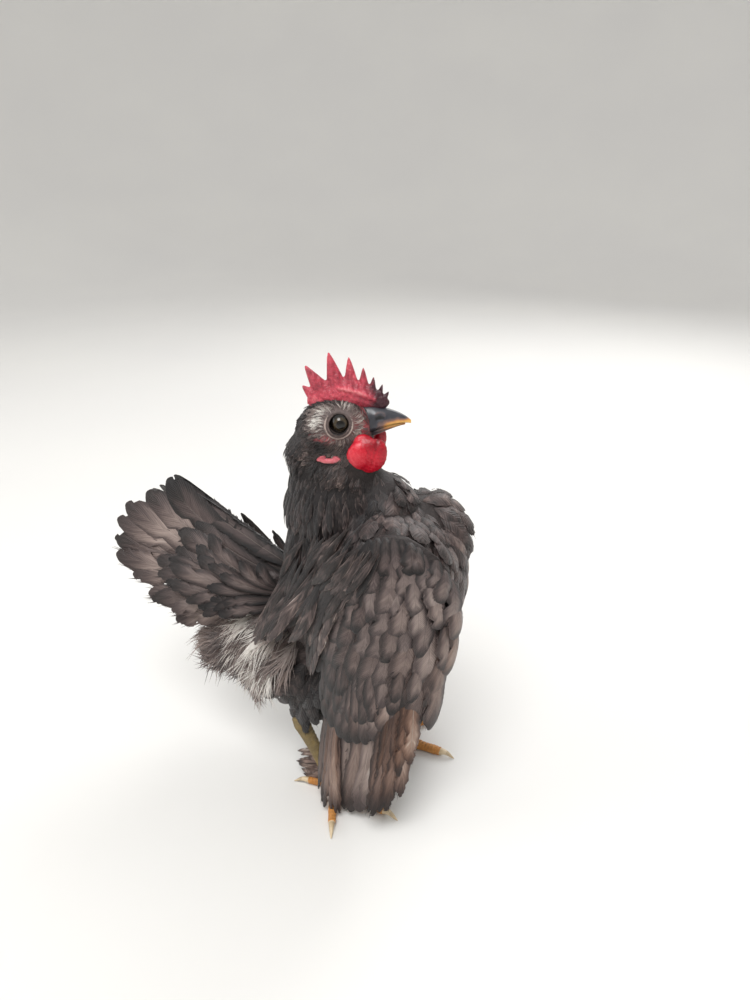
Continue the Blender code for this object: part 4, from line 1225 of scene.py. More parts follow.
# Tail feathers of the right side in tiers: how many, then three places of the arc that their tips lie
# on, top first, and for their roots the distance out, and the heights of the top and the lowest one.
# Then come the width, bow, turn, kind, tone and brown.
TAIL_TIERS = (
    (9, (-106, -3, 135), (-130, -17, 107), (-89, -26, 76), (2.5, 100, 80), 15.5, 1.2, 12,
     "rectrix", 0.46, 0.25),
    (7, (-86, -8, 122), (-106, -20, 102), (-84, -28, 79), (3.6, 97, 81), 13.0, 1.8, 12,
     "rectrix", 0.38, 0.2),
    (9, (-74, -11, 115), (-88, -24, 99), (-73, -29, 81), (5.0, 95, 82), 8.6, 2.4, 14,
     "rectrix", 0.36, 0.2),
    (10, (-60, -13, 107), (-69, -24, 95), (-59, -27, 83), (6.0, 93, 83), 6.8, 2.6, 14,
     "rectrix", 0.30, 0.2),
)
# Feathers that roof the ridge between the two sides of the tail: tip, root and width in millimetres.
TAIL_RIDGE = (
    ((-104.0, -1.0, 134.5), (-44.0, -0.5, 101.0), 9.0),
    ((-97.0, -1.8, 129.5), (-44.0, -1.2, 100.5), 10.0),
    ((-82.0, -1.8, 121.5), (-42.0, -1.5, 101.5), 10.0),
    ((-68.0, -1.8, 113.5), (-40.0, -1.5, 101.5), 10.0),
)


def make_tail(name, side, rng):
    """One side of the tented fan: upper feathers overlap the lower ones under tiers of coverts."""
    kinds = {
        "rectrix": templates("rectrix", rng, 6, 20, 3, ragged=0.025, notches=3, spikes=30, spike=0.03),
        "loose": templates("rectrix", rng, 6, 24, 3, ragged=0.06, notches=8, spikes=90, spike=0.08),
        "covert": templates("covert", rng, 6, 14, 3, ragged=0.04, notches=3, spikes=36, spike=0.06),
    }
    tail = Plumage()
    mirror = np.array((1, -side, 1))
    for row, (count, top, middle, low, roots, width, bow, turn, kind, tone, brown) in enumerate(TAIL_TIERS):
        root_out, root_top, root_low = roots
        for i in range(count):
            t = i / (count - 1)
            stray, other, third = rng.uniform(-1, 1, 3)
            tip = along_arc(top, middle, low, t) * mirror
            # The topmost tip stays in its place, the outline strays a little and the coverts more.
            loose = 2.5 if i and row == 0 else (9.0 if row else 0)
            tip += (loose * other, 0.6 * stray * side, 0.5 * loose * stray)
            root = (TAIL_ROOT_X, side * root_out, root_top + (root_low - root_top) * t)
            chosen = kinds["loose" if kind == "rectrix" and t > FRAYED_FROM else kind]
            wide = width * (1 - 0.15 * t) * (1 + 0.12 * third)
            tail.add(
                picked(chosen, rng), root, tip, (0, side, 0.25), wide, thick=0.35, cup=0.10 + 0.05 * row,
                bow=bow + 0.5 * third, curl=1.4 + 1.6 * other,
                turn=-side * (turn + 6 * other), sway=side * (4.0 - 6.0 * t + 2.2 * third),
                tone=tone - (0.2 if i + row == 0 else 0) + 0.2 * t * (row < 2) + 0.08 * stray, brown=brown,
            )
    for tip, root, width in TAIL_RIDGE:
        tail.add(
            kinds["rectrix"][0], root * mirror, tip * mirror, (-0.5, side * 0.45, 0.75), width,
            thick=0.35, cup=0.2, bow=2.5, curl=1.5, tone=0.22, brown=0.2,
        )
    return tail.made(name)


def beyond_wing(ahead, height, lift, side):
    """A place on the wing's surface, or behind its rear edge and a little inward."""
    edge = max(ahead, WING_MIDDLE_X - 0.9 * WING_REACH_REAR)
    place, face = wing_place(edge, height, lift, side)
    return place + (ahead - edge) * np.array((1, side * 0.45, 0)), face


# Rows of the back's long feathers on the right side: count, rear and front end of their roots,
# length and tone. Then rows of strands on the wing: count, both ends (ahead, up) of their roots,
# reach of the tips (ahead, up) and tone.
BACK_ROWS = (
    (13, (-38, -20, 98), (-10, -33, 116), 27, 0.22),
    (13, (-36, -19, 107), (-6, -32, 124), 27, 0.16),
    (12, (-33, -18, 116), (0, -29, 132), 25, 0.14),
    (10, (-30, -17, 124), (4, -26, 139), 20, 0.12),
)
STRAND_ROWS = (
    (10, (-14, 96), (-4, 108), (-6, -25), 0.28),
    (12, (-12, 106), (2, 118), (-9, -27), 0.34),
    (12, (-9, 117), (8, 127), (-12, -26), 0.32),
    (12, (-5, 126), (14, 134), (-14, -24), 0.27),
    (10, (0, 135), (20, 139), (-12, -19), 0.22),
)


def make_drape(name, side, rng):
    """Loose strands of the shoulder, which slant back over the wing's upper rear edge, over the
    longer feathers of the back that hang between the wing and the tail."""
    kind = templates("lance", rng, 8, 12, 2, ragged=0.06, notches=3, spikes=44, spike=0.10)
    drape = Plumage()
    mirror = np.array((1, -side, 1))
    shift = np.array((LEFT_WING_SHIFT * 0.6, 0, -3)) if side > 0 else 0
    for count, start, end, length, tone in BACK_ROWS:
        for i in range(count):
            t = i / (count - 1)
            stray, other, third = rng.uniform(-1, 1, 3)
            root = np.array(start) * (1 - t) + np.array(end) * t + (2.5 * stray, 1.0 * other, 2.5 * other)
            reach = np.array((-0.36 - 0.2 * t + 0.16 * third, -0.1, -1.0)) * length * (1 + 0.22 * other)
            drape.add(
                picked(kind, rng), root * mirror + shift, (root + reach) * mirror + shift,
                (-0.35, side, 0.35), 4.6 * (1 + 0.3 * stray), thick=0.25, cup=0.3,
                bow=1.8 + other, curl=1.6 * third, turn=side * 20 * other,
                sway=side * (1.2 + 2.2 * third), tone=tone + 0.14 * other, brown=0.3,
            )
    for count, start, end, reach, tone in STRAND_ROWS:
        for i in range(count):
            t = i / (count - 1)
            stray, other, third = rng.uniform(-1, 1, 3)
            ahead = start[0] + (end[0] - start[0]) * t + 1.5 * stray
            height = start[1] + (end[1] - start[1]) * t + 2.0 * other
            long = 1.2 + 0.3 * third
            root, _ = wing_place(ahead, height, -1.0, side)
            behind, low = ahead + reach[0] * long, height + reach[1] * long
            tip, face = beyond_wing(behind, low, 3.2 + 0.6 * other, side)
            drape.add(
                picked(kind, rng), root, tip, face, 4.0 * (1 + 0.2 * stray), thick=0.25, cup=0.3,
                bow=2.2 + other, curl=1.2 + third, turn=side * (8 + 10 * other),
                sway=side * (1.4 + 1.2 * third), tone=tone + 0.18 * stray, brown=0.3,
            )
    return drape.made(name)


# Head


# Halves of the bill in sections: how far ahead, top, bottom and half width. Then the nostril.
BILL_UPPER = (
    (4.6, 181.6, 171.4, 5.2),
    (9.0, 181.9, 172.0, 4.9),
    (12.5, 181.4, 173.2, 4.2),
    (16.5, 180.3, 174.2, 3.4),
    (20.5, 178.9, 174.8, 2.5),
    (23.6, 177.2, 174.8, 1.5),
    (25.7, 175.5, 174.3, 0.4),
)
BILL_LOWER = (
    (4.0, 171.1, 167.0, 4.6),
    (9.0, 171.6, 168.6, 4.2),
    (13.0, 172.9, 170.1, 3.4),
    (17.0, 173.9, 171.7, 2.6),
    (21.0, 174.4, 173.1, 1.6),
    (23.3, 174.2, 173.6, 0.5),
)
NOSTRIL = (12.8, 177.6)
# Sections that a half is drawn with, and points round the arch of each.
BILL_STATIONS = 44
BILL_ARCH = 25
# How far the mouth's side of each half lies inside its edge.
BILL_INSET = 0.25


def make_bill(name, profile, upper):
    """Half of the bill: a loft of arched sections with a ridge, and the nostril under its flap."""
    stations = along(profile, BILL_STATIONS)
    mouth = np.linspace(-1, 1, 9)[1:-1]
    angles = np.linspace(0, math.pi, BILL_ARCH)
    inset = BILL_INSET if upper else -BILL_INSET
    rings = []
    for ahead, high, low, half in stations:
        edge, crown = (low, high) if upper else (high, low)
        y = half * np.sign(np.cos(angles)) * np.abs(np.cos(angles)) ** 0.92
        z = edge + (crown - edge) * np.sin(angles) ** 0.95
        ring = np.stack((np.full(BILL_ARCH, ahead), y, z), 1)
        inner = [(ahead, half * share, edge + inset) for share in mouth]
        rings.append(np.vstack((ring, inner)))
    points, faces = ring_mesh(rings)
    shade = np.full(len(points), 0.28)
    ahead, out, height = points[:, 0], np.abs(points[:, 1]), points[:, 2]
    edge_height = np.interp(ahead, stations[:, 0], stations[:, 2 if upper else 1])
    near_edge = np.exp(-((height - edge_height) / (1.3 if upper else 1.2)) ** 2)
    shade += 0.50 * near_edge * ease(12.5, 17.0, ahead) + 0.4 * ease(22.5, 25.4, ahead)
    shade += 0.25 * ease(0.6, 2.2, out) * ease(9, 13, ahead) * ease(4.5, 1.6, np.abs(height - edge_height))
    if upper:
        d = np.hypot((ahead - NOSTRIL[0]) / 1.9, (height - NOSTRIL[1]) / 0.7)
        flap = np.hypot((ahead - NOSTRIL[0]) / 3.0, (height - NOSTRIL[1] - 0.9) / 1.9)
        points[:, 1] *= 1 - 0.42 * ease(1.3, 0.4, d) + 0.14 * ease(1.2, 0.6, flap)
        # The flap is paler, and the nostril's hollow is darkened with painted shade.
        shade += 0.20 * ease(1.2, 0.7, flap) - 0.9 * ease(1.2, 0.7, d)
    obj = faced_out(mesh_object(name, from_head(points), faces))
    put_values(obj.data, "shade", shade)
    return obj


# Points of the comb: place of the base and the tip (ahead, up), and width.
COMB_POINTS = (
    ((-12.5, 184.5), (-18.2, 189.8), 7.0),
    ((-10.0, 187.5), (-16.8, 198.0), 8.0),
    ((-4.4, 189.5), (-7.4, 203.4), 7.6),
    ((1.6, 189.0), (0.5, 201.2), 6.2),
    ((6.4, 188.0), (6.3, 197.0), 5.0),
    ((9.8, 187.0), (10.4, 193.4), 4.0),
    ((12.6, 185.6), (14.0, 190.4), 3.4),
    ((14.4, 184.2), (16.6, 187.4), 3.4),
)
# Sections of its blade: how far ahead, lower and upper edge, and half thickness.
COMB_BLADE = (
    (-16.4, 182.2, 185.0, 0.5),
    (-15.0, 181.2, 186.2, 1.2),
    (-12.5, 180.5, 188.4, 1.9),
    (-8.0, 180.4, 190.6, 2.5),
    (-2.0, 180.4, 192.4, 2.8),
    (4.0, 180.4, 191.8, 2.8),
    (9.0, 180.2, 189.8, 2.5),
    (13.0, 180.2, 187.4, 2.1),
    (15.6, 180.8, 185.0, 1.4),
    (16.8, 182.2, 183.6, 0.5),
)
# Line of the fold on its sides (ahead, up).
COMB_FOLD = ((-4.5, 189.4), (0.5, 188.8), (6.0, 187.0), (11.5, 184.6))


def make_comb():
    """Upright single comb: a thick blade, eight points, a fold on each side and a granular skin."""
    angles = np.linspace(0, math.tau, 16, endpoint=False)
    rings = []
    for x, low, high, half in along(COMB_BLADE, 30):
        y, z = half * np.cos(angles), (low + high) / 2 + (high - low) / 2 * np.sin(angles)
        rings.append(np.stack((np.full(len(angles), x), y, z), 1))
    pieces = [faced_out(mesh_object("blade", *ring_mesh(rings)))]
    for (bx, bz), (tx, tz), width in COMB_POINTS:
        base, tip = np.array((bx, 0, bz)), np.array((tx, 0, tz))
        ahead = unit(tip - base)
        across = np.array((-ahead[2], 0, ahead[0]))
        base = base - ahead * 3.0
        rings = []
        for t in np.linspace(0, 1, 10):
            wide, thick = width * (0.58 * (1 - t) ** 0.85 + 0.05), 1.9 * (1 - t) ** 0.7 + 0.4
            middle = base + (tip - base) * t
            flat = middle + np.outer(np.cos(angles) * wide, across)
            rings.append(flat + np.outer(np.sin(angles) * thick, (0, 1, 0)))
        pieces.append(faced_out(mesh_object("point", *ring_mesh(rings))))
    for side in (RIGHT, LEFT):
        fold = [(x, side * 2.5, z) for x, z in COMB_FOLD]
        radii = np.interp(np.linspace(0, 1, 14), (0, 0.3, 1), (0.5, 1.05, 0.8))
        rings = tube_rings(along(fold, 14), radii, 10)
        pieces.append(faced_out(mesh_object("fold", *ring_mesh(rings))))
    comb = blended("comb_flesh", pieces, 0.42, 3)
    mesh = comb.data
    points, normals = places_of(mesh), normals_of(mesh)
    x, y, z = points.T.copy()
    flutes = np.sin(x * 2.6 + z * 0.25 + np.sin(z * 0.5)) * ease(185, 189, z)
    lumps = np.sin(x * 1.9 + z * 0.9 + 2 * np.sign(y)) * np.sin(z * 2.1 - x * 0.7)
    thin = ease(0.3, 1.2, np.abs(y))
    points += normals * ((0.22 * flutes + 0.15 * lumps) * thin)[:, None]
    points[:, 1] += 0.9 * np.sin(x * 0.22 + 0.6) * ease(188, 200, z)
    fold = np.interp(x, *np.array(COMB_FOLD).T)
    fold_highlight = np.exp(-(((z - fold) / 0.9) ** 2)) * ease(-6, -3, x) * ease(13, 10, x)
    # Painted shade darkens the comb's front, and painted highlights pale its lower rear, the ends of its
    # points and its folds.
    shade = 0.46 - 0.40 * ease(6, 14, x) + 0.16 * ease(190, 183, z) * ease(6, 0, x)
    shade += 0.1 * ease(194, 201, z) + 0.3 * fold_highlight
    put_values(mesh, "shade", shade)
    move_points(mesh, from_head(points))
    return comb


def make_wattle(name, side):
    """A rounded hanging lobe with a fold at its front and its root, and shallow wrinkles."""
    pieces = [
        ellipsoid((7.9, side * 9.6, 163.6), (8.0, 2.9, 7.6), -14),
        ellipsoid((4.6, side * 10.8, 163.8), (5.2, 2.6, 6.2), -15),
        ellipsoid((6.8, side * 8.2, 168.4), (5.0, 2.6, 3.6), -20),
        ellipsoid((12.4, side * 9.2, 165.4), (3.6, 2.5, 5.4), 8),
    ]
    wattle = blended(name, pieces, 0.4, 12)
    mesh = wattle.data
    points, normals = places_of(mesh), normals_of(mesh)
    bend = np.hypot((points[:, 0] - 14.0) * 0.9, points[:, 2] - 168.0)
    points += normals * (0.04 * np.sin(bend * 4.2 + np.sin(points[:, 2] * 0.7) * 1.2))[:, None]
    crease = np.exp(-((points[:, 0] - 10.6 - (points[:, 2] - 164) * 0.25) / 0.55) ** 2)
    crease = crease * ease(156, 160, points[:, 2])
    points -= normals * (0.22 * crease)[:, None]
    # Painted shade darkens the crease, the grooves of the wrinkles and the upper front, and a painted
    # highlight pales the rear.
    groove_shade = 0.03 * np.sin(bend * 4.2 + np.sin(points[:, 2] * 0.7) * 1.2)
    upper_shade = 0.22 * ease(162, 170, points[:, 2]) * ease(4, 10, points[:, 0])
    put_values(mesh, "shade", 0.56 - 0.12 * crease - upper_shade + groove_shade + 0.16 * ease(8, 2, points[:, 0]))
    move_points(mesh, from_head(points))
    return wattle


def skin_seeker(skin):
    """Finds how far out the head's skin lies at a place of one side."""
    mesh = skin.data
    tree = BVHTree.FromPolygons([v.co for v in mesh.vertices], [tuple(f.vertices) for f in mesh.polygons])

    def out_at(ahead, height, side):
        far = 40.0
        for pull in (0, 0.06, 0.12, 0.2, 0.3):
            x, z = ahead + (EYE[0] - ahead) * pull, height + (EYE[1] - height) * pull
            start, middle = (Vector(metres(from_head((x, y, z)))[0]) for y in (side * far, 0))
            hit = tree.ray_cast(start, (middle - start).normalized())[0]
            if hit:
                return far - (hit - start).length / MM
        return 0.0

    return out_at


def make_earlobe(name, side, out_at):
    """A bare crescent lobe under the ear."""
    out = out_at(*EARLOBE, side)
    rear = out_at(EARLOBE[0] - 3.4, EARLOBE[1] + 1.2, side)
    fore = out_at(EARLOBE[0] + 3.4, EARLOBE[1] + 0.9, side)
    pieces = [
        ellipsoid((EARLOBE[0], side * (out + 0.1), EARLOBE[1]), (3.8, 1.0, 1.2), 0),
        ellipsoid((EARLOBE[0] - 3.2, side * (rear + 0.1), EARLOBE[1] + 1.0), (2.2, 0.9, 1.1), 28),
        ellipsoid((EARLOBE[0] + 3.2, side * (fore + 0.1), EARLOBE[1] + 0.8), (2.0, 0.9, 1.0), -28),
    ]
    lobe = blended(name, pieces, 0.36, 5)
    points = places_of(lobe.data)
    put_values(lobe.data, "shade", 0.62 - 0.3 * ease(EARLOBE[1], EARLOBE[1] + 2.0, points[:, 2]))
    move_points(lobe.data, from_head(points))
    return lobe


# Section of the lid round the eye: radius from the eye's middle, and height off the skin.
LID_SECTION = (
    (6.3, -0.5), (5.95, 0.05), (5.6, 0.38), (5.3, 0.50), (5.05, 0.36), (4.8, 0.34), (4.5, 0.50),
    (4.2, 0.62), (3.95, 0.60), (3.75, 0.42), (3.62, 0.1), (3.6, -0.6), (4.2, -1.6), (6.0, -1.6),
)
# How far from the eye's middle the lids find the skin that they sit on, and how far their free edge
# reaches.
LID_SEAT = 5.6
LID_EDGE = 4.4


def make_lids(name, side, out_at):
    """Upper and lower lid as one soft ring with fine folds, drawn a little to points fore and aft."""
    around = 72
    rings = []
    for i in range(around):
        a = math.tau * i / around
        corner = abs(math.cos(a)) ** 6
        fold = 0.07 * math.sin(23 * a) + 0.06 * math.sin(41 * a + 1.0)
        ring = []
        for radius, rise in LID_SECTION:
            wide = radius * (1.03 + 0.04 * corner * (radius < LID_EDGE))
            tall = radius * (0.96 if radius < LID_EDGE else 0.98)
            x, z = wide * math.cos(a), tall * math.sin(a)
            reach = 1.1 * max(radius, LID_SEAT) / radius
            seat = out_at(EYE[0] + reach * x, EYE[1] + reach * z, side)
            lift = rise + fold * (0.3 < rise) - 0.25 * corner * (radius < LID_EDGE)
            ring.append((EYE[0] + x, side * (seat + lift), EYE[1] + z))
        rings.append(ring)
    rings = np.array(rings)
    count = len(LID_SECTION)
    faces = []
    for i in range(around):
        j = (i + 1) % around
        for k in range(count):
            m = (k + 1) % count
            faces.append((i * count + k, i * count + m, j * count + m, j * count + k))
    points = rings.reshape(-1, 3)
    lids = faced_out(mesh_object(name, from_head(points), faces))
    radius = np.hypot(points[:, 0] - EYE[0], points[:, 2] - EYE[1])
    tone = 0.50 + 0.36 * np.exp(-(((radius - 5.45) / 0.35) ** 2)) - 0.40 * ease(4.1, 3.7, radius)
    tone -= 0.16 * np.exp(-(((radius - 4.9) / 0.3) ** 2))
    put_values(lids.data, "tone", tone)
    put_values(lids.data, "brown", np.full(len(points), 0.4))
    return lids


# The cornea: how far it stands out of the ball, and its half width as an angle off the axis.
CORNEA_RISE = 0.35
CORNEA_WIDTH = 0.62


def make_eye(name, side, out):
    """Eyeball with the cornea's bulge; its UV holds the angle round its axis and the distance off it."""
    rows, around = 30, 48
    centre = np.array((EYE[0], side * (out - EYE_DEPTH), EYE[1]))
    look = unit((0.16, side, 0.02))
    across = unit(np.cross(look, (0, 0, 1)))
    rise = np.cross(across, look)
    points, uv = [centre + look * (EYE_RADIUS + CORNEA_RISE)], [(0.5, 0.0)]
    for r in range(1, rows):
        a = math.pi * r / rows
        radius = EYE_RADIUS + CORNEA_RISE * math.exp(-((a / CORNEA_WIDTH) ** 4))
        for k in range(around):
            b = math.tau * k / around
            ring = across * math.cos(b) + rise * math.sin(b)
            points.append(centre + radius * (look * math.cos(a) + ring * math.sin(a)))
            uv.append((k / around, a / math.pi * 2))
    points.append(centre - look * EYE_RADIUS)
    uv.append((0.5, 2.0))
    faces = []
    for k in range(around):
        m = (k + 1) % around
        faces.append((0, 1 + k, 1 + m))
        for r in range(rows - 2):
            a = 1 + r * around
            faces.append((a + k, a + around + k, a + around + m, a + m))
        a = 1 + (rows - 2) * around
        faces.append((a + k, len(points) - 1, a + m))
    return faced_out(mesh_object(name, from_head(points), faces, uv))


# Legs


# Plates from hock to ankle at the front of the shank and at its back.
FRONT_PLATES = 13.0
BACK_PLATES = 19.0
# Radius of the shank along its share from hock to ankle.
SHANK_RADII = ((-0.16, 0.0, 0.16, 0.5, 0.84, 1.0, 1.06), (3.0, 3.8, 3.3, 2.85, 2.95, 3.1, 3.1))


def make_shank(name, side):
    """Scaled shank: overlapping plates down its front and a swollen hock."""
    hock, ankle = mirrored(HOCK, side), mirrored(ANKLE, side)
    shares = np.linspace(-0.16, 1.06, 110)
    path = hock + np.outer(shares, ankle - hock)
    radii = np.interp(shares, *SHANK_RADII)
    rings = tube_rings(path, radii, 28, up=(1, 0, 0.3))
    ahead = unit(ankle - hock)
    front = unit(np.array((1.0, 0, 0)) - ahead * ahead[0])
    outward = unit(rings - path[:, None])
    facing = outward @ front
    plate = (shares * FRONT_PLATES) % 1.0
    step = 0.30 * (1 - plate[:, None]) ** 1.5 * ease(0.1, 0.7, facing)
    step += 0.16 * (((shares * BACK_PLATES) % 1.0)[:, None] < 0.8) * ease(0.1, -0.5, facing)
    rings = rings + outward * step[..., None]
    joint = np.maximum(ease(0.82, 1.0, plate)[:, None] * ease(0.1, 0.6, facing), 0)
    points, faces = ring_mesh(rings)
    obj = faced_out(mesh_object(name, points, faces))
    put_values(obj.data, "joint", np.append(joint.ravel(), (0, 0)))
    height = places_of(obj.data)[:, 2]
    put_values(obj.data, "shade", 0.22 + 0.3 * ease(20, 6, height))
    return obj


HEEL_FEATHERS = 34
LOWEST_HEEL_TIP = 2.5


def make_heel_tuft(name, side, rng):
    """Soiled loose feathers at the back of the shank's lower end."""
    kind = templates("lance", rng, 6, 12, 2, ragged=0.12, notches=3, spikes=50, spike=0.12)
    tuft = Plumage()
    low = mirrored(ANKLE, side)
    for _ in range(HEEL_FEATHERS):
        stray, other, third = rng.uniform(-1, 1, 3)
        root = low + (0.5 + 1.5 * stray, 2.0 * other, 4.5 + 4.5 * third)
        tip = low + (-13.5 + 4.5 * stray, 4.0 * other - 2.0 * side, -2.0 + 6.0 * third)
        tip[2] = max(tip[2], LOWEST_HEEL_TIP)
        tuft.add(
            picked(kind, rng), root, tip, (-0.3 + 0.4 * other, side, 0.6), 3.0 + stray, thick=0.22, cup=0.3,
            bow=1.5 + other, curl=-1.2 * other, turn=30 * other, sway=1.5 * third,
            tone=0.70 + 0.16 * other, brown=0.8,
        )
    return tuft.made(name)


# Lengths along a toe: from one swelling joint to the next, and of one plate.
TOE_JOINT = 8.5
TOE_PLATE = 1.75


def toe_line(yaw, side):
    """The way that a toe points, level with the floor."""
    heading = math.radians(-yaw if side < 0 else yaw - LEFT_FOOT_TURN)
    return np.array((math.cos(heading), math.sin(heading), 0))


def make_foot(name, side):
    """Foot of four toes with plates across their upper sides and pads below, flat on the floor."""
    ankle, foot = mirrored(ANKLE, side), mirrored(FOOT, side)
    stub = along((ankle + (0, 0, 0.5), foot + (-0.5, 0, 1.5), foot + (0.5, 0, -0.4)), 8)
    stub = tube_rings(stub, np.linspace(3.0, 2.7, 8), 16, up=(1, 0, 0.2))
    pieces = [
        faced_out(mesh_object("stub", *ring_mesh(stub))),
        ellipsoid(foot + (0, 0, -0.4), (4.2, 3.9, 2.7)),
    ]
    for yaw, length, thick, thin in TOES.values():
        line = toe_line(yaw, side)
        start = np.array((foot[0], foot[1], 2.4)) - line
        shares = np.linspace(0, 1, 60)
        path = start + np.outer(shares * (length + 0.6), line) + np.outer(-0.35 * shares, (0, 0, 1))
        radii = thick + (thin - thick) * shares
        radii = radii * (1 + 0.07 * np.cos(math.tau * length / TOE_JOINT * shares) * (1 - 0.4 * shares))
        rings = tube_rings(path, np.stack((radii * 0.95, radii), 1), 20)
        pieces.append(faced_out(mesh_object("toe", *ring_mesh(rings))))
    obj = blended(name, pieces, 0.42, 3)
    mesh = obj.data
    points, normals = places_of(mesh), normals_of(mesh)
    away = np.hypot(points[:, 0] - foot[0], points[:, 1] - foot[1])
    plate = (away / TOE_PLATE) % 1.0
    top = ease(0.1, 0.6, normals[:, 2]) * ease(3.0, 5.0, away)
    points += normals * (0.24 * (1 - plate) ** 1.5 * top)[:, None]
    points[:, 2] = np.maximum(points[:, 2], 0.0)
    put_values(mesh, "joint", ease(0.78, 1.0, plate) * top)
    put_values(mesh, "shade", 0.62 + 0.12 * ease(6, 20, away))
    move_points(mesh, points)
    return obj


def make_claws(name, side):
    """The claws of one foot: each leaves its toe's end and curves down to the floor."""
    foot = mirrored(FOOT, side)
    pieces = []
    for yaw, length, _, thin in TOES.values():
        line = toe_line(yaw, side)
        t = np.linspace(0, 1, 16)
        reach = length - 1.0 + (CLAW_LENGTH + 1.0) * t * (1 - 0.12 * t)
        path = np.array((foot[0], foot[1], 2.0)) + np.outer(reach, line)
        path[:, 2] += 0.7 * np.sin(math.pi * np.minimum(t * 1.3, 1)) - 1.7 * t * t
        radii = thin * 0.80 * (1 - t) ** 0.8 + 0.12
        path[:, 2] = np.maximum(path[:, 2], radii + 0.02)
        pieces.append(faced_out(mesh_object("claw", *ring_mesh(tube_rings(path, radii, 12)))))
    obj = joined(name, pieces)
    obj.data.shade_smooth()
    points = places_of(obj.data)
    away = np.hypot(points[:, 0] - foot[0], points[:, 1] - foot[1])
    put_values(obj.data, "shade", 0.3 + 0.4 * ((away / 8.0) % 1.0))
    return obj


# Stage


# The photograph's camera: its place in metres, its turn, its tilt down, and its lens and sensor in
# millimetres.
CAMERA_PLACE = (0.16402, -0.27316, 0.272)
CAMERA_AZIMUTH = math.radians(24.0)
CAMERA_PITCH = math.radians(23.43)
CAMERA_LENS = 28.08
SENSOR_HEIGHT = 36.0


def make_camera():
    """The photograph's view: from the hen's right and a little ahead, looking down on it."""
    data = bpy.data.cameras.new("camera")
    data.sensor_fit = "VERTICAL"
    data.sensor_height = SENSOR_HEIGHT
    data.lens = CAMERA_LENS
    data.clip_start = 0.01
    right = Vector((math.cos(CAMERA_AZIMUTH), math.sin(CAMERA_AZIMUTH), 0))
    level = Vector((-math.sin(CAMERA_AZIMUTH), math.cos(CAMERA_AZIMUTH), 0))
    ahead = level * math.cos(CAMERA_PITCH) - Vector((0, 0, math.sin(CAMERA_PITCH)))
    rise = right.cross(ahead)
    turn = Matrix((right, rise, -ahead)).transposed().to_4x4()
    camera = bpy.data.objects.new("camera", data)
    camera.matrix_world = Matrix.Translation(CAMERA_PLACE) @ turn
    bpy.context.scene.collection.objects.link(camera)
    bpy.context.scene.camera = camera


def make_light(name, place, target, size, power):
    """A round soft light that faces a target."""
    data = bpy.data.lights.new(name, "AREA")
    data.shape = "DISK"
    data.size = size
    data.energy = power
    light = bpy.data.objects.new(name, data)
    light.location = place
    light.rotation_euler = (Vector(target) - Vector(place)).to_track_quat("-Z", "Y").to_euler()
    bpy.context.scene.collection.objects.link(light)


# The floor in millimetres: how far it is flat, the radius of its sweep and the height of its wall.
BOWL_FLAT = 1500.0
BOWL_BEND = 1300.0
BOWL_HEIGHT = 2600.0
BOWL_SIDES = 96
# Soft lights: place, what it faces, width in metres and power in watts.
LIGHTS = (
    ("key", (0.15, -0.55, 1.0), (0, 0, 0.1), 0.6, 8.2),
    ("fill", (-0.9, -0.5, 0.5), (0, 0, 0.1), 0.8, 2.5),
    ("back", (0.1, 0.9, 0.8), (0, 0, 0.12), 0.7, 6.0),
)


def make_stage():
    """Pale floor that sweeps up into a wall all round, an even pale surround and three soft lights."""
    profile = [(BOWL_FLAT * share, 0.0) for share in (0.02, 0.3, 0.6, 0.85)]
    for a in np.radians(np.linspace(0, 90, 16)):
        profile.append((BOWL_FLAT + BOWL_BEND * math.sin(a), BOWL_BEND * (1 - math.cos(a))))
    profile.append((BOWL_FLAT + BOWL_BEND, BOWL_HEIGHT))
    angles = np.linspace(0, math.tau, BOWL_SIDES, endpoint=False)
    points = [(r * math.cos(a), r * math.sin(a), z) for r, z in profile for a in angles]
    faces = [tuple(range(BOWL_SIDES))]
    for k in range(len(profile) - 1):
        inner, outer = k * BOWL_SIDES, (k + 1) * BOWL_SIDES
        for i in range(BOWL_SIDES):
            j = (i + 1) % BOWL_SIDES
            faces.append((inner + i, outer + i, outer + j, inner + j))
    floor = mesh_object("floor", points, faces)
    floor.data.materials.append(floor_finish())
    world = bpy.data.worlds.new("surround")
    bpy.context.scene.world = world
    world.use_nodes = True
    feed(world.node_tree.nodes["Background"], {"Color": linear("#f0efee"), "Strength": 1.0})
    for light in LIGHTS:
        make_light(*light)
    bpy.context.scene.view_settings.view_transform = "Standard"


# The whole hen


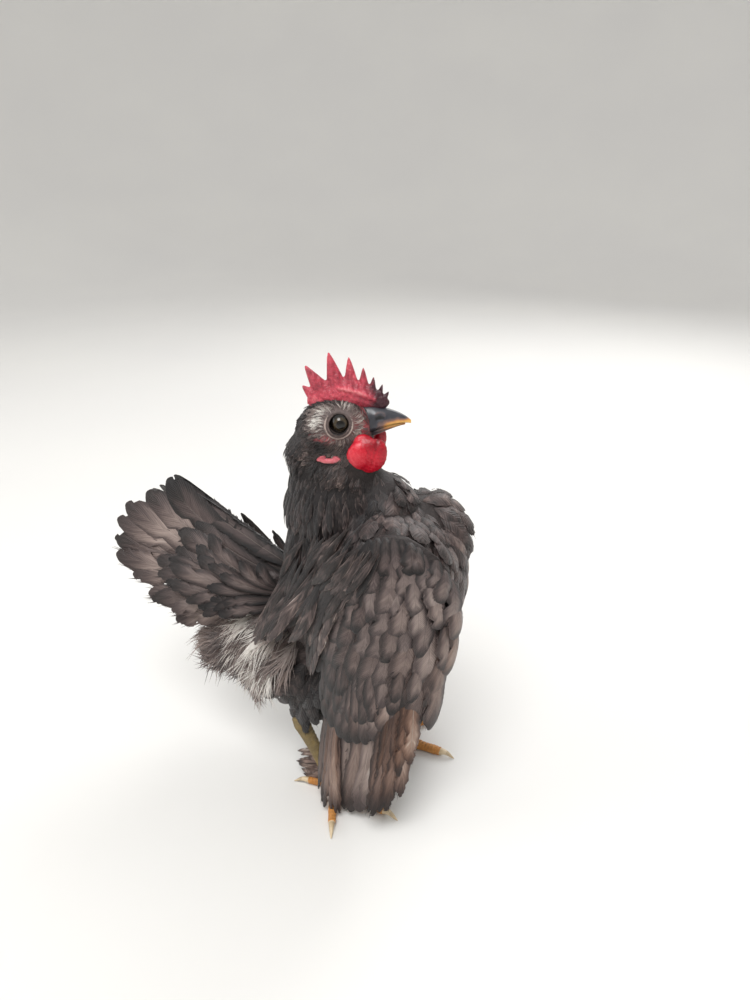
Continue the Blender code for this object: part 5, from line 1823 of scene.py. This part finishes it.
def coat_shares(points, tone):
    """Where each piece of the coat grows: a share from 0 to 1 for every point of the skin."""
    ahead, out, height = head_axes(points)
    x, y, z = points.T
    on_head = ease(153.5, 160, z + 0.8 * np.minimum(x + 15, 0) + 0.2 * np.maximum(x + 15, 0))
    from_eye = eye_distance(points)
    bare_eye = ease(5.2, 5.8, from_eye)
    beak = ease(9.4, 8.2, ahead)
    comb = 1 - ease(-17, -14, ahead) * ease(2.6, 1.8, out) * ease(178, 182, height)
    lobe = ease(1.0, 1.35, np.hypot((ahead - EARLOBE[0]) / 4.6, (height - EARLOBE[1]) / 1.8))
    wattle = 1 - ease(-2, 1, ahead) * ease(2.0, 3.0, out) * ease(170, 167, height) * ease(154, 157, height)
    _, flush = face_marks(points)
    face = ease(-17, -12, ahead) * ease(156, 158, height) * ease(186, 184, height) * ease(3.0, 4.5, out)
    crown = on_head * bare_eye * beak * comb * lobe * wattle
    near_bill = ease(3.5, 6.5, ahead)
    ring = ease(9.5, 7.5, from_eye) * face
    rear = ease(-44, -54, x) * ease(92, 84, z)
    shin = ease(38, 43, z + 0.5 * (x + 30)) * ease(-20, -24, x) + ease(-24, -20, x)
    under_wing = ease(24, 27, np.abs(y)) * ease(-22, -14, x) * ease(40, 34, x)
    under_wing = under_wing * ease(126, 120, z) * ease(60, 66, z)
    up_neck, past_neck = z - 0.55 * (x + 18), x - 0.35 * (z - 130)
    neck = (1 - on_head) * ease(112, 122, up_neck) * ease(6, -6, past_neck)
    below_neck = ease(120, 132, up_neck) * ease(-2, -14, past_neck)
    trunk = (1 - on_head) * (1 - below_neck) * (1 - rear) * (1 - under_wing) * shin
    front = ease(-14, -6, x)
    downy = ease(-26, -34, x) * ease(92, 84, z)
    # Where the back and the rear are pale, down takes the place of vanes.
    vaned = ease(0.80, 0.55, tone)
    return {
        "crown": crown * (1 - flush) * (1 - 0.35 * face) * (1 - near_bill) * (1 - 0.8 * ring),
        "face": crown * face * (1 - 0.50 * flush),
        "neck": neck,
        "breast": trunk * front,
        "back": trunk * (1 - front) * vaned,
        "rear": rear * vaned,
        "down": np.maximum(rear, downy * ease(0.40, 0.65, tone)),
    }


def feather_groups(rng):
    """The small feathers that the coat is made of, by kind."""
    return {
        "contour": shape_group(
            "contour", templates("contour", rng, 8, 8, 2, ragged=0.08, notches=1, spikes=18, spike=0.16),
            width=0.62, thick=0.03, cup=0.22, curl=0.08, bow=0.03, more_bow=0.012,
        ),
        "hackle": shape_group(
            "hackle", templates("hackle", rng, 6, 7, 2, ragged=0.08, notches=1, spikes=14, spike=0.14),
            width=0.30, thick=0.02, cup=0.30, curl=0.06, bow=0.01, more_bow=0.008,
        ),
        "small": shape_group(
            "small", templates("hackle", rng, 6, 4, 1, ragged=0.1, notches=0, spikes=5, spike=0.16),
            width=0.46, thick=0.06, cup=0.2, curl=0.0, bow=0.04,
        ),
        "plume": shape_group(
            "plume", [plume_template(rng, 15, 0.5, 0.016) for _ in range(6)],
            width=2.0, thick=2.0, cup=0.0, curl=0.15, bow=0.05, more_bow=0.02,
        ),
        "bristle": shape_group(
            "bristle", [plume_template(rng, 4, 0.30, 0.03) for _ in range(6)],
            width=2.0, thick=2.0, cup=0.0, curl=0.12, bow=0.08,
        ),
    }


# Pieces of the coat: name, where it grows, kind of feather, finish, and measures as COAT_MEASURES.
COATS = (
    ("coat_crown", "crown", "small", HACKLE_VANE, (0.95, 0.07, 0.16, 1.0, 1.15, 0.05, 11)),
    ("coat_neck", "neck", "hackle", HACKLE_VANE, (1.85, 0.06, 0.16, 0.9, 1.05, 0.17, 12)),
    ("coat_breast", "breast", "contour", BODY_VANE, (2.9, 0.04, 0.13, 1.0, 1.2, 0.10, 13)),
    ("coat_back", "back", "contour", BODY_VANE, (3.0, 0.16, 0.26, 0.9, 1.1, 0.08, 14)),
    ("coat_rear", "rear", "contour", BODY_VANE, (4.4, 0.16, 0.4, 0.6, 1.1, 0.14, 15)),
    ("coat_down", "down", "plume", DOWN, (2.1, 0.40, 0.4, 1.0, 1.4, 0.26, 31)),
    ("coat_face", "face", "bristle", DOWN, (0.55, 0.22, 0.4, 1.0, 0.9, 0.18, 32)),
)


def grow_coat(skin, shares, rng):
    """The small feathers and the down, as pieces that grow from the skin."""
    groups = feather_groups(rng)
    tree = coat_tree()
    for name, share, kind, finish, measures in COATS:
        coat = make_coat(name, tree, skin, shares[share], groups[kind], finish, measures)
        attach(coat, "root")
    for group in groups.values():
        for obj in list(group.objects):
            bpy.data.objects.remove(obj)
        bpy.data.collections.remove(group)


# How far fore and aft of the eye its seat is felt for, and how far the eye stands out from it.
EYE_SEAT = 7.4
EYE_RISE = 0.75


def dress_side(name, side, rng, out_at):
    """The wing, the tail's half, the leg and the soft parts of the head on one side."""
    arm = wing_arm(side)
    arm.name = "wing_arm_" + name
    dressed(arm, BIRD_SKIN, "body_feathers", "wing_" + name)
    wing = make_wing("wing_feathers_" + name, side, rng, FLIGHT_TIERS)
    dressed(wing, FLIGHT_VANE, "flight_feathers", "wing_" + name)
    coverts = make_wing("wing_coverts_" + name, side, rng, COVERT_TIERS)
    dressed(coverts, COVERT_VANE, "body_feathers", "wing_" + name)
    tail = make_tail("tail_feathers_" + name, side, rng)
    dressed(tail, FLIGHT_VANE, "flight_feathers", "tail_" + name)
    drape = make_drape("shoulder_feathers_" + name, side, rng)
    dressed(drape, HACKLE_VANE, "body_feathers")
    fore, aft = (out_at(EYE[0] + reach, EYE[1], side) for reach in (EYE_SEAT, -EYE_SEAT))
    eye = make_eye("eyeball_" + name, side, fore * 0.5 + aft * 0.5 + EYE_RISE)
    dressed(eye, WET_EYE, "eye", "eye_" + name)
    dressed(make_lids("eyelids_" + name, side, out_at), BIRD_SKIN, "face_skin")
    dressed(make_earlobe("ear_lobe_" + name, side, out_at), LOBE_SKIN, "wattle_skin", "earlobe_" + name)
    dressed(make_wattle("throat_wattle_" + name, side), WATTLE_SKIN, "wattle_skin", "wattle_" + name)
    dressed(make_shank("scaled_shank_" + name, side), LEG_SKIN, "leg_scale", "shank_" + name)
    dressed(make_foot("scaled_foot_" + name, side), LEG_SKIN, "leg_scale", "foot_" + name)
    dressed(make_heel_tuft("heel_feathers_" + name, side, rng), COVERT_VANE, "body_feathers")
    claws = [f"claw_{toe}_{name}" for toe in TOES]
    dressed(make_claws("horn_claws_" + name, side), CLAW_HORN, "claw_horn", *claws)


def main():
    """Builds the hen, its stage and its camera."""
    rng = np.random.default_rng(SEED)
    skin = make_skin()
    points = places_of(skin.data)
    lie, length, tone, brown = coat_field(points)
    tone, brown = face_feathers(points, tone, brown)
    put_values(skin.data, "lie", parted_round_eye(points, lie))
    put_values(skin.data, "length", length * MM)
    put_values(skin.data, "tone", tone)
    put_values(skin.data, "brown", brown)
    grow_coat(skin, coat_shares(points, tone), rng)

    marks, flush = face_marks(points)
    on_head = ease(156, 160, points[:, 2])
    put_values(skin.data, "tone", (tone * 0.6) * (1 - on_head) + marks * on_head)
    put_values(skin.data, "flush", flush)
    dressed(skin, BIRD_SKIN, "face_skin", "head", "neck", "torso", "thigh_right", "thigh_left")

    out_at = skin_seeker(skin)
    for name, side in (("right", RIGHT), ("left", LEFT)):
        dress_side(name, side, rng, out_at)
    dressed(make_bill("bill_upper", BILL_UPPER, True), BILL_HORN, "beak_horn", "beak_upper")
    dressed(make_bill("bill_lower", BILL_LOWER, False), BILL_HORN, "beak_horn", "beak_lower")
    dressed(make_comb(), COMB_SKIN, "comb_skin", "comb")

    make_camera()
    make_stage()


main()
